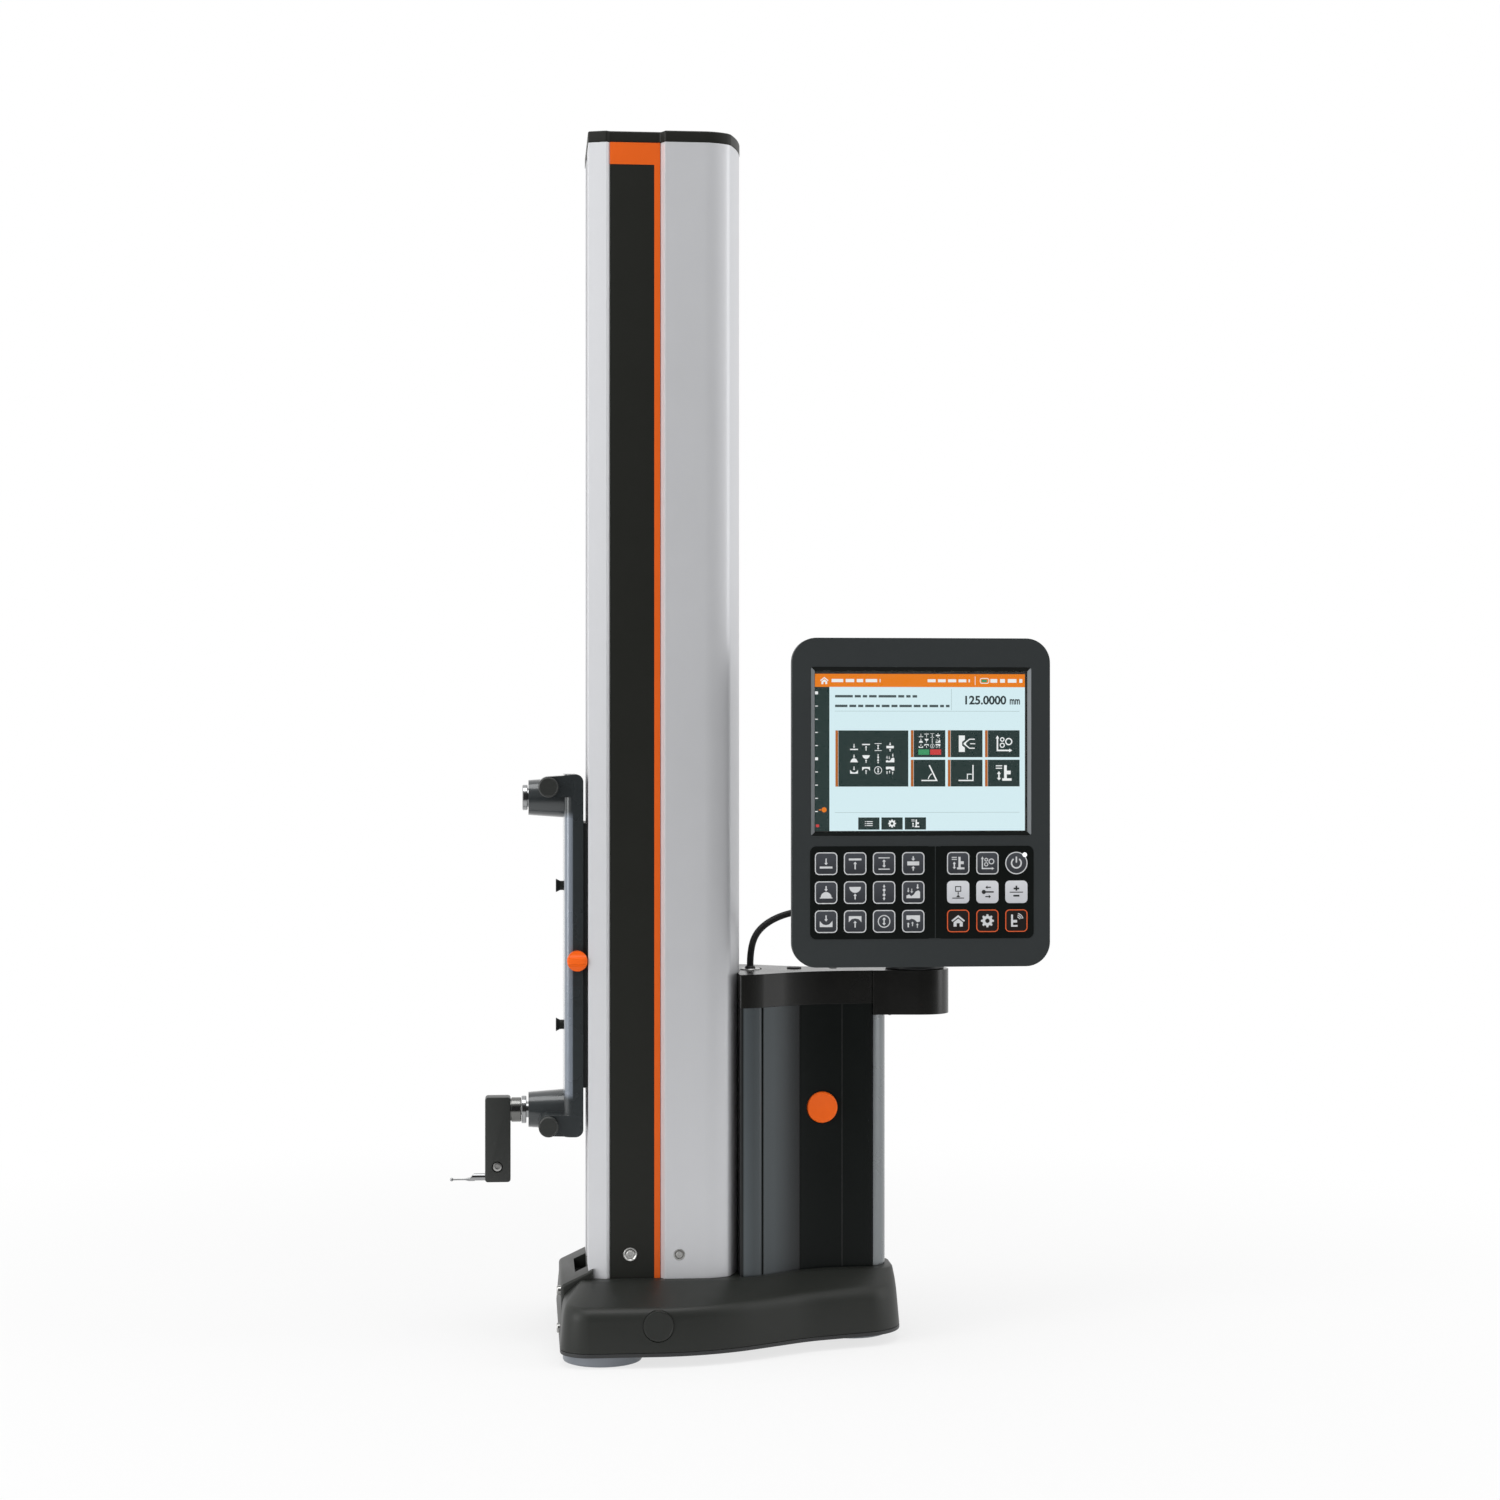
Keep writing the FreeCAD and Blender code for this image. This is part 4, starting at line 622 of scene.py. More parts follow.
def makeFloor():
    clear()
    bpy.ops.mesh.primitive_plane_add(size=floorLook["size"] * mm)
    floor = settle(named("floor"))
    material, wire = newMaterial("floorPale")
    place = wire.node("TexCoord", out="Object")
    reach = wire.node("VectorMath", {"operation": "LENGTH"}, {0: place}, out="Value")
    fade = reach.rising(floorLook["near"] * mm, floorLook["far"] * mm)
    lit = wire.node("BsdfDiffuse", None, {"Color": tint(*floorLook["tone"])})
    seen = wire.node("LightPath", out="Is Camera Ray")
    glossy, through = seen.output("Is Glossy Ray"), seen.output("Is Transmission Ray")
    # in reflections the floor grows dim in front
    front = wire.place().output("Y").rising(floorLook["dimTo"] * mm, floorLook["dimFrom"] * mm)
    shine = seen + through + glossy * (front * (1 - floorLook["dim"]) + floorLook["dim"])
    white = wire.node("Emission", None, {"Color": (1, 1, 1, 1), "Strength": shine})
    share = (fade * (1 - floorLook["white"]) + floorLook["white"]) * (seen + glossy + through)
    shader = wire.node("MixShader", None, {0: share, 1: lit, 2: white})
    wire.node("OutputMaterial", None, {"Surface": shader})
    floor.data.materials.append(material)
    floor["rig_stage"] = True


makeFloor()
print("camera, light and floor set")


# Cable from the grip's head to the display's bracket

cable = {
    "route": [(73.8, 0, 309.8), (73.8, 0, 322.5), (79.3, 5, 337.8), (93.5, 10, 348.6),
              (114, 12, 355), (140, 12, 356.5), (166, 8, 350), (190, 4, 350)],
    "radius": 2.85, "bend": ((70, 0, 350), (150, 0, 350)),
}


def makeCable():
    clear()
    bpy.ops.curve.primitive_nurbs_path_add()
    piece = named("displayCable")
    curve = piece.data
    curve.splines.clear()
    spline = curve.splines.new("NURBS")
    spline.points.add(len(cable["route"]) - 1)
    for point, place in zip(spline.points, cable["route"]):
        point.co = (*(Vector(place) * mm), 1)
    spline.order_u = 3
    spline.use_endpoint_u = True
    spline.resolution_u = 16
    line = bpy.data.meshes.new_from_object(piece)
    curve.bevel_depth = cable["radius"] * mm
    curve.bevel_resolution = 6
    curve.use_fill_caps = True
    only(piece)
    bpy.ops.object.convert(target="MESH")
    piece = bpy.context.object
    tidyMesh(piece)
    finishPiece(piece, None, finishes["rubber"], angle=50)
    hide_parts("display_cable")
    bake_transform(piece)


makeCable()


# Base and feet

base = {
    "bottom": 12.0, "crease": 45.6, "top": 58.4, "draft": 3.0, "creaseRound": 9.0, "topRound": 2.2,
    "bottomRound": 1.2, "steps": 16, "mostShare": 0.45, "innerShare": 0.03,
    "front": 88.0, "halfWidth": 124.0, "frontRound": 24.0, "waist": 31.0, "sideRound": 173.0,
    "tailStart": 115.3, "tailHalf": 78.8, "innerRound": 120.0, "rear": 197.0, "rearHalf": 54.5, "rearRound": 40.0,
    "topOutline": [(-70, 66, 10), (62, 66, 50), (118, 34, 50), (193, 27, 20)],
    "block": {"x": (-86.5, -60), "y": (-58, 58), "z": (30, 66.4), "frontZ": 54.0, "round": 2.6,
              "port": ((-74.5, -64.5), (-30, 27), (52, 80))},
}


def mirroredOutline(half):
    return [(x, -y, r) for x, y, r in half] + [(x, y, r) for x, y, r in reversed(half)]


def baseOutline(inset):
    b = base
    half = [
        (inset - b["front"], b["halfWidth"] - inset, b["frontRound"] - inset),
        (b["waist"] - inset * 0.25, b["halfWidth"] - inset, b["sideRound"] - inset),
        (b["tailStart"] - inset * 0.2, b["tailHalf"] - inset * 1.08, b["innerRound"] + inset),
        (b["rear"] - inset, b["rearHalf"] - inset * 0.95, b["rearRound"] - inset),
    ]
    return roundedOutline(mirroredOutline(half), b["steps"])


def arcBetween(low, spot, high, steps):
    # points of the curve that rounds a corner between two points on its sides
    rows = []
    for step in range(steps + 1):
        t = step / steps
        rows.append([a * (1 - t) ** 2 + b * 2 * t * (1 - t) + c * t ** 2 for a, b, c in zip(low, spot, high)])
    return rows


def makeBase():
    b = base
    raised = lambda outline, z: [Vector((point.x, point.y, z)) for point in outline]
    bottom = raised(baseOutline(0), b["bottom"])
    crease = raised(baseOutline(b["draft"]), b["crease"])
    top = raised(roundedOutline(mirroredOutline(b["topOutline"]), b["steps"]), b["top"])
    share = lambda a, c, reach: [p + (q - p) * min(b["mostShare"], reach / (q - p).length) for p, q in zip(a, c)]
    drawn = raised(baseOutline(b["bottomRound"]), b["bottom"])
    inner = [point + (Vector((0, 0, b["top"])) - point) * b["innerShare"] for point in top]
    for point in inner:
        point.z = b["top"]
    rings = arcBetween(drawn, bottom, share(bottom, crease, b["bottomRound"]), 3)
    rings += arcBetween(share(crease, bottom, b["creaseRound"]), crease, share(crease, top, b["creaseRound"]), 8)
    rings += arcBetween(share(top, crease, b["topRound"]), top, inner, 4)
    piece = lofted("baseCasting", rings)
    k = b["block"]
    front = block("frontBlock", k["x"], k["y"], k["z"])
    edit(front)
    pick("VERT", lambda part: abs(part.co.x / mm - k["x"][0]) < 0.1 and part.co.z / mm > k["frontZ"])
    bpy.ops.transform.translate(value=(0, 0, (k["frontZ"] - k["z"][1]) * mm))
    leave()
    roundEdges(front, lambda edge: max(corner.co.z for corner in edge.verts) / mm > k["frontZ"] - 1
               and not (along("y")(edge) and inPlane("x", k["x"][1])(edge)), k["round"], 4)
    carve(piece, front, how="UNION")
    carve(piece, block("portTool", *k["port"]))
    return piece


baseBody = makeBase()
plug = {"radius": 12.25, "groove": 0.35, "x": -10.0, "z": 33.0, "hole": 118.4, "seat": 117.8}
for side, facing in bothSides:
    hole = (plug["x"], side * plug["hole"], plug["z"])
    carve(baseBody, rod("plugTool", plug["radius"] + plug["groove"], 12, hole, facing))
fit(baseBody, "base_casting", angle=30)
print("base made")

feet = {"profile": [(0, 0.8), (25.2, 0.8), (26, 0), (30.4, 0), (31.5, 0.4), (32, 1.3), (32, 8.1), (31.5, 8.8),
                    (30.6, 9), (6, 9), (6, 20), (0, 20)],
        "places": [(-53.5, -86, 0), (-53.5, 86, 0), (159, 0, 0)]}
piece = spread("feet", turned("foot", feet["profile"], steps=96), [(at, "+z") for at in feet["places"]])
fit(piece, "front_foot_left", "front_foot_right", "rear_foot")

plug["profile"] = [(0, 0), (12.25, 0), (12.25, 4.5), (12.05, 4.85), (11.6, 5), (10.9, 5), (10.7, 4.85), (0, 4.85)]
fit(spread("sidePlugs", turned("plug", plug["profile"], steps=96),
           [((plug["x"], side * plug["seat"], plug["z"]), facing) for side, facing in bothSides]), "side_plugs")

screws = {
    "labelAt": (-29.8, 54, 78), "sideAt": (10.4, 58, 78), "frontAt": ((-86, -50, 18), (-86, -50, 48.5)),
    "caseX": (120.6, 293.4), "caseZ": (334.7, 563.5), "caseY": -44,
    "label": [(0, -6), (2, -6), (2, 0), (5.7, 0), (5.7, 1.2), (5.55, 1.45), (5.3, 1.6), (4.7, 1.6), (3.6, 0.7),
              (3.1, 0.7), (3.1, 1.15), (2.8, 1.4), (0, 1.45)],
    "side": [(0, -8), (2, -8), (2, 0), (4.6, 0), (4.6, 1.2), (4.5, 1.4), (4.3, 1.5), (3.8, 1.5), (3.0, 0.5),
             (2.7, 0.5), (2.7, 1.0), (2.4, 1.25), (0, 1.3)],
    "front": [(0, -8), (2.5, -8), (2.5, 0), (4, 0), (4, 3.3), (3.8, 3.7), (3.4, 3.9), (0, 3.9)],
    "holder": [(0, -9), (2, -9), (2, 0), (3.95, 0), (3.95, 2.7), (3.6, 3.1), (3.2, 3.2), (0, 3.2)],
    "case": [(0, -9), (1.5, -9), (1.5, 0), (3, 0), (3, 1.2), (2.7, 1.7), (2.0, 1.95), (0, 2)],
}
coverParts = []
for word, sizes in (("label", (1.7, 1.1, 1.45)), ("side", (1.5, 1.0, 1.3))):
    x, y, z = screws[word + "At"]
    coverParts.append(spread(word + "Screws", socketHead(word + "Screw", screws[word], *sizes),
                             [((x, side * y, z), facing) for side, facing in bothSides]))
fit(joined("coverScrews", coverParts), "cover_screws")
fit(spread("frontScrews", socketHead("frontScrew", screws["front"], 2.2, 2.2, 3.9),
           [(at, "-x") for at in screws["frontAt"]]), "front_screws")
print("feet, plugs and screws made")


# Column, grip and head

edges = {"cover_left": 0.4, "cover_right": 0.4, "column_cap": 1.2, "trim_strip_left": 0.15, "trim_strip_right": 0.15,
         "label_strip_left": 0.15, "label_strip_right": 0.15, "base_plate": 0.4, "grip_rear_cap": 0.4,
         "display_rear_case": 0.8, "display_bracket": 0.5, "slider_frame": 0.5, "slider_back_plate": 0.4}
for node, width in edges.items():
    dress(node, width, look="trim" if node.startswith("trim") else None)

grip = {"grooveX": 79.7, "grooveWidth": 1.7, "grooveDepth": 1.5, "lineX": 149.3, "lineWidth": 0.5, "proud": 0.05,
        "low": 59, "high": 279}


def strip(piece, name, x, side, width, inner, outer, over=0):
    # an upright bar in a side of the grip, from a depth under the skin there to a height over it
    found, spot, normal, face = piece.ray_cast(Vector((x, side * 90, 150)) * mm, Vector((0, -side, 0)))
    near = spot.y / mm
    return block(name, (x - width / 2, x + width / 2), sorted((near - side * inner, near + side * outer)),
                 (grip["low"] - over, grip["high"] + over))


piece = copyOf("grip_front_shell")
lines = [strip(piece, "grooveFloor", grip["grooveX"], side, grip["grooveWidth"] - 0.05, grip["grooveDepth"], -1.1)
         for side in (-1, 1)]
for side in (-1, 1):
    carve(piece, strip(piece, "grooveTool", grip["grooveX"], side, grip["grooveWidth"], grip["grooveDepth"], 5, 10))
fit(piece, "grip_front_shell", angle=35)
finishPiece(joined("gripGrooves", lines), "stand", finishes["black_gloss"])
panels = [dress("grip_panel_" + word, 0.2) for word in ("right", "left")]
lines = [strip(piece, "panelLine", grip["lineX"], side, grip["lineWidth"], 0.3, grip["proud"])
         for piece, side in zip(panels, (-1, 1))]
finishPiece(joined("gripLines", lines), "stand", finishes["motor_paint"])

head = {
    "top": 306.8, "plug": (111.7, 6), "dots": ((82, 4, 1.8, 0.8), (145, 6, 3.2, 0.4)), "peg": (191.5, -8, 269.5),
    "slot": {"x": (103.7, 119.7), "y": (5.2, 6.8), "z": (307.2, 309.8)}, "cable": (73.8, 0, 306.8),
    "plugProfile": [(0, -1), (6.2, -1), (6.2, 0.7), (5.7, 1.1), (0, 1.2)],
    "pegProfile": [(0, -1), (1.3, -1), (1.3, 1.2), (0.9, 1.6), (0, 1.7)],
    "pad": [(0, -1), (8.6, -1), (8.6, 0.5), (8.2, 0.9), (0, 0.9)],
    "gland": [(0, 0), (4.5, 0), (4.5, 1.6), (4.2, 2.2), (3.5, 3), (2.7, 3), (0, 3)],
}
dress("grip_head", 1.2, look="head")
fittings = [turned("headPlug", head["plugProfile"], (*head["plug"], head["top"]))]
carve(fittings[0], block("slotTool", *head["slot"].values()))
for x, y, radius, height in head["dots"]:
    profile = [(0, -1), (radius, -1), (radius, height - 0.2), (radius - 0.3, height), (0, height)]
    fittings.append(turned("headDot", profile, (x, y, head["top"])))
fittings.append(turned("headPeg", head["pegProfile"], head["peg"], "-z"))
finishPiece(joined("headFittings", fittings), "stand", finishes["rubber"], angle=25)
finishPiece(turned("cablePad", head["pad"], head["cable"]), "stand", finishes["steel"], angle=25)
fit(turned("cableGland", head["gland"], head["cable"]), "cable_gland")

button = {"at": (132, -20, 193), "stroke": 2.0,
          "profile": [(0, -13), (3, -13), (3, 0), (13, 0), (13, 5.6), (12.75, 6.35), (12.2, 6.85), (11.4, 7),
                      (10.6, 6.85), (0, 6.7)]}
fit(turned("gripButton", button["profile"], button["at"], "-y", steps=96), "grip_button", angle=40)

# the spring behind the button, with a mesh of its own
low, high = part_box("button_spring")
spring = fit(copyOf("button_spring", 0), "button_spring", angle=40)
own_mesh(spring)

swivel = {"at": (214, 0, 0), "profile": [(0, 298.5), (13, 298.5), (13, 303.5), (8, 303.5), (8, 307.1), (24.4, 307.1),
                                         (25, 307.7), (25, 311.3), (24.3, 312.1), (0, 312.1)],
          "pinAt": (192, -25, 365), "pin": [(0, 0), (3.4, 0), (4, 0.6), (4, 43.4), (3.4, 44), (0, 44)]}
fit(turned("swivelBase", swivel["profile"], swivel["at"], steps=96), "swivel_base")
fit(turned("tiltPin", swivel["pin"], swivel["pinAt"], "+x"), "tilt_pin")
print("column, grip and head made")


# Slider and probe

slider = {
    "upperZ": 452.2, "lowerZ": 190.7, "clampX": -96.5, "clampZ": (461.3, 182.4), "lockX": -73.0, "lockZ": 318.5,
    "seat": -42.3, "pegX": -83.4, "pegZ": (261.75, 378.35),
    "knob": [(0, -48), (2.5, -48), (2.5, 0), (7.4, 0), (8.2, 0.8), (8.2, 8.2), (8.0, 8.7), (7.5, 9), (7.1, 9),
             (6.9, 8.85), (0, 8.8)],
    "lockKnob": [(0, -17), (3, -17), (3, 0), (6.6, 0), (7.4, 0.9), (8.4, 2.6), (8.4, 9.8), (8.1, 11), (7.3, 12),
                 (6.2, 12.4), (0, 12.4)],
    "peg": [(0, -5), (3.95, -5), (3.95, 3.0), (5.5, 6.1), (5.7, 6.4), (5.3, 6.5), (0, 6.3)],
}


def ribs(piece, low, high, radius, depth, teeth):
    # every second face round the side of a knob is drawn in
    def chosen(face):
        spot = face.calc_center_median() / mm
        turn = round(math.atan2(spot.y, spot.x) / math.tau * teeth * 2 - 0.5)
        return abs(face.normal.z) < 0.1 and low < spot.z < high and spot.xy.length > radius * 0.97 and turn % 2
    edit(piece)
    pick("FACE", chosen)
    bpy.ops.mesh.inset(thickness=0.12 * mm, use_individual=True)
    bpy.ops.transform.shrink_fatten(value=-depth * mm)
    leave()
    return piece


for word, z in zip(("upper", "lower"), slider["clampZ"]):
    knob = ribs(turned(word + "ClampKnob", slider["knob"], steps=72), 1, 8, 8.2, 0.3, 36)
    fit(put(knob, (slider["clampX"], slider["seat"], z), "-y"), word + "_clamp_knob", angle=30)
knob = turned("lockKnob", slider["lockKnob"], steps=72)
for side in (-1, 1):
    # two hollows leave a level ridge for the fingers
    carve(knob, rod("hollowTool", 6.0, 30, (-15, side * 8.0, 13.2), "+x"))
fit(put(knob, (slider["lockX"], slider["seat"], slider["lockZ"]), "-y"), "lock_knob", angle=30)
fit(spread("sliderPegs", turned("peg", slider["peg"], steps=48),
           [((slider["pegX"], 0, z), "-x") for z in slider["pegZ"]]), "slider_pegs")

rings = {
    "upper": [(4.5, 112.8), (8, 112.8), (8, 113.6), (10.1, 113.6), (10.65, 114.1), (10.65, 117.2), (10.1, 117.8),
              (5.2, 117.8), (4.5, 117.2)],
    "lower": [(4.5, 112.8), (6.7, 112.8), (6.7, 114.6), (11, 114.6), (11.5, 115.1), (11.5, 118.1), (11, 118.6),
              (5.2, 118.6), (4.5, 118)],
}
for word, z in (("upper", slider["upperZ"]), ("lower", slider["lowerZ"])):
    profile = rings[word] + rings[word][:1]
    fit(turned(word + "SocketRing", profile, (0, 0, z), "-x", steps=72), word + "_socket_ring")

probe = {"x": (-148.9, -127.7), "y": (-9, 9), "z": (131.3, 202), "round": 2.4, "screw": (-138.7, -5, 144),
         "sink": 4.6, "boreAt": (-140, 0, 134.6), "shankAt": (-139.3, 0, 134.6),
         "wireAt": (-157.6, 0, 132.7), "ballAt": (-176.8, 0, 132.7),
         "shank": [(0, 0), (2.98, 0), (2.98, 22.6), (2.6, 23), (0, 23)],
         "wire": [(0, 0), (1.5, 0), (1.5, 5), (0.7, 8), (0.7, 18.6), (0, 18.6)],
         "collar": [(0, 0), (9.4, 0), (9.4, 0.7), (10.25, 0.9), (10.25, 8.2), (9.8, 8.8), (4.45, 8.8), (4.45, 43.7),
                    (0, 43.7)]}
holder = block("probeHolder", probe["x"], probe["y"], probe["z"])
roundEdges(holder, along("y"), probe["round"], 5)
soften(holder, 0.6, 3)
carve(holder, rod("sinkTool", probe["sink"], 6, probe["screw"], "-y"),
      rod("shankTool", 3.0, 12, probe["boreAt"], "-x"))
fit(holder, "probe_holder", angle=30)
collar = turned("probeCollar", probe["collar"], (probe["x"][1], 0, slider["lowerZ"]), "+x", steps=96)
finishPiece(collar, "probe", finishes["brushed"], angle=25)
screw = put(socketHead("holderScrew", screws["holder"], 2.1, 2.0, 3.2), probe["screw"], "-y")
fit(screw, "holder_screw", look="steel")

shank = turned("stylus", probe["shank"], probe["shankAt"], "-x", steps=48)
edit(shank)
# the shank's tip slopes down to the wire that carries the ball
bpy.ops.mesh.bisect(plane_co=(-0.1582, 0, 0.1375), plane_no=(-0.72, 0, 0.69), use_fill=True, clear_outer=True)
leave()
thinEnd = turned("thinEnd", probe["wire"], probe["wireAt"], "-x", steps=32)
clear()
bpy.ops.mesh.primitive_uv_sphere_add(segments=32, ring_count=16, radius=1.5 * mm)
ball = put(named("ball"), probe["ballAt"])
fit(joined("stylus", [shank, thinEnd, ball]), "stylus", angle=30)
print("slider and probe made")


# Display: bezel, screen picture, keys

screen = {
    "window": ((116.0, 298.0), (421.9, 559.8)), "frame": 3.0, "frameFront": -84.7, "frameBack": -83.35,
    "module": ((114, 300), (-81.3, -74.7), (419.9, 561.8)), "face": -81.3, "step": 0.05,
    "picture": ((119.7, 293.1), (425.9, 554.2)), "scaleSide": 131.6, "headBottom": 543.5,
    "ticks": (121.0, 538.6, 10.75), "markerZ": 443.2, "titleZ": 548.7, "noteZ": (535.9, 528.0),
    "rules": ((136, 288.6, 523.6, 523.9), (136, 288.6, 440.8, 441.1), (232.0, 232.3, 524.6, 542.0)),
    "grid": ((151.8, 494.4), (9.9, 9.5), 0.62), "miniGrid": ((206.9, 503.9), (4.7, 4.3), 0.34),
    "lowIcons": ((164.0, "list"), (183.1, "gear"), (202.4, "tower")), "lowIconsZ": 431.9,
}
colours = {"ground": (215, 239, 244), "head": (232, 124, 10), "dark": (31, 50, 48), "white": (236, 240, 240),
           "rust": (176, 98, 34), "line": (160, 182, 184), "ink": (70, 84, 86), "green": (60, 150, 100),
           "red": (200, 60, 60), "spot": (228, 120, 20)}


def flatMarks(name, outlines, face, depth):
    # closed outlines in the screen's plane (x, z), filled, with a thickness whose front is at y = face
    data = bpy.data.curves.new(name, "CURVE")
    data.dimensions = "2D"
    data.fill_mode = "BOTH"
    data.extrude = depth / 2 * mm
    for outline in outlines:
        spline = data.splines.new("POLY")
        spline.points.add(len(outline) - 1)
        for point, (x, z) in zip(spline.points, outline):
            point.co = (x * mm, z * mm, 0, 1)
        spline.use_cyclic_u = True
    piece = bpy.data.objects.new(name, data)
    bpy.context.scene.collection.objects.link(piece)
    return flatMesh(piece, face, depth)


def flatMesh(piece, face, depth):
    name = piece.name
    only(piece)
    bpy.ops.object.convert(target="MESH")
    piece = named(name)
    tidyMesh(piece)
    piece.rotation_euler = (math.radians(90), 0, 0)
    piece.location.y += (face + depth / 2) * mm
    return settle(piece)


def rect(x, z, width, height):
    return [(x - width / 2, z - height / 2), (x + width / 2, z - height / 2),
            (x + width / 2, z + height / 2), (x - width / 2, z + height / 2)]


def span(left, right, low, high):
    return rect((left + right) / 2, (low + high) / 2, right - left, high - low)


def softRect(x, z, width, height, radius):
    return [tuple(point) for point in roundedOutline([(*corner, radius) for corner in rect(x, z, width, height)], 6)]


def arc(x, z, radius, start=0, end=360, steps=24):
    return [(x + radius * math.cos(math.radians(start + (end - start) * step / steps)),
             z + radius * math.sin(math.radians(start + (end - start) * step / steps)))
            for step in range(steps + (end - start < 360))]


def band(x, z, radius, line, start, end):
    # part of a ring
    return arc(x, z, radius, start, end) + arc(x, z, radius - line, start, end)[::-1]


def ring(x, z, radius, line):
    return [arc(x, z, radius), arc(x, z, radius - line)]


def arrow(x, z, length, turn=90, wide=3.0, shaft=1.0, double=False):
    # an arrow about its middle, that points up at 90 degrees
    tip, neck = length / 2, length / 2 - wide * 0.6
    half = [(neck, shaft / 2), (neck, wide / 2), (tip, 0)]
    rear = [(-neck, shaft / 2), (-neck, wide / 2), (-tip, 0)] if double else [(-tip, shaft / 2)]
    shape = rear[::-1] + half + [(a, -b) for a, b in half[::-1] if b] + [(a, -b) for a, b in rear if b]
    c, n = math.cos(math.radians(turn)), math.sin(math.radians(turn))
    return [(x + a * c - b * n, z + a * n + b * c) for a, b in shape]


def mirrored(half):
    # an outline from its left half, the point on the middle line taken once
    return half + [(-x, z) for x, z in half[::-1] if x]


def gear(x, z, radius, teeth=8):
    shape = []
    for index in range(teeth):
        for share, reach in ((-0.30, 0.76), (-0.17, 1.0), (0.17, 1.0), (0.30, 0.76)):
            turn = math.tau * (index + share) / teeth
            shape.append((x + radius * reach * math.cos(turn), z + radius * reach * math.sin(turn)))
    return [shape, arc(x, z, radius * 0.34)]


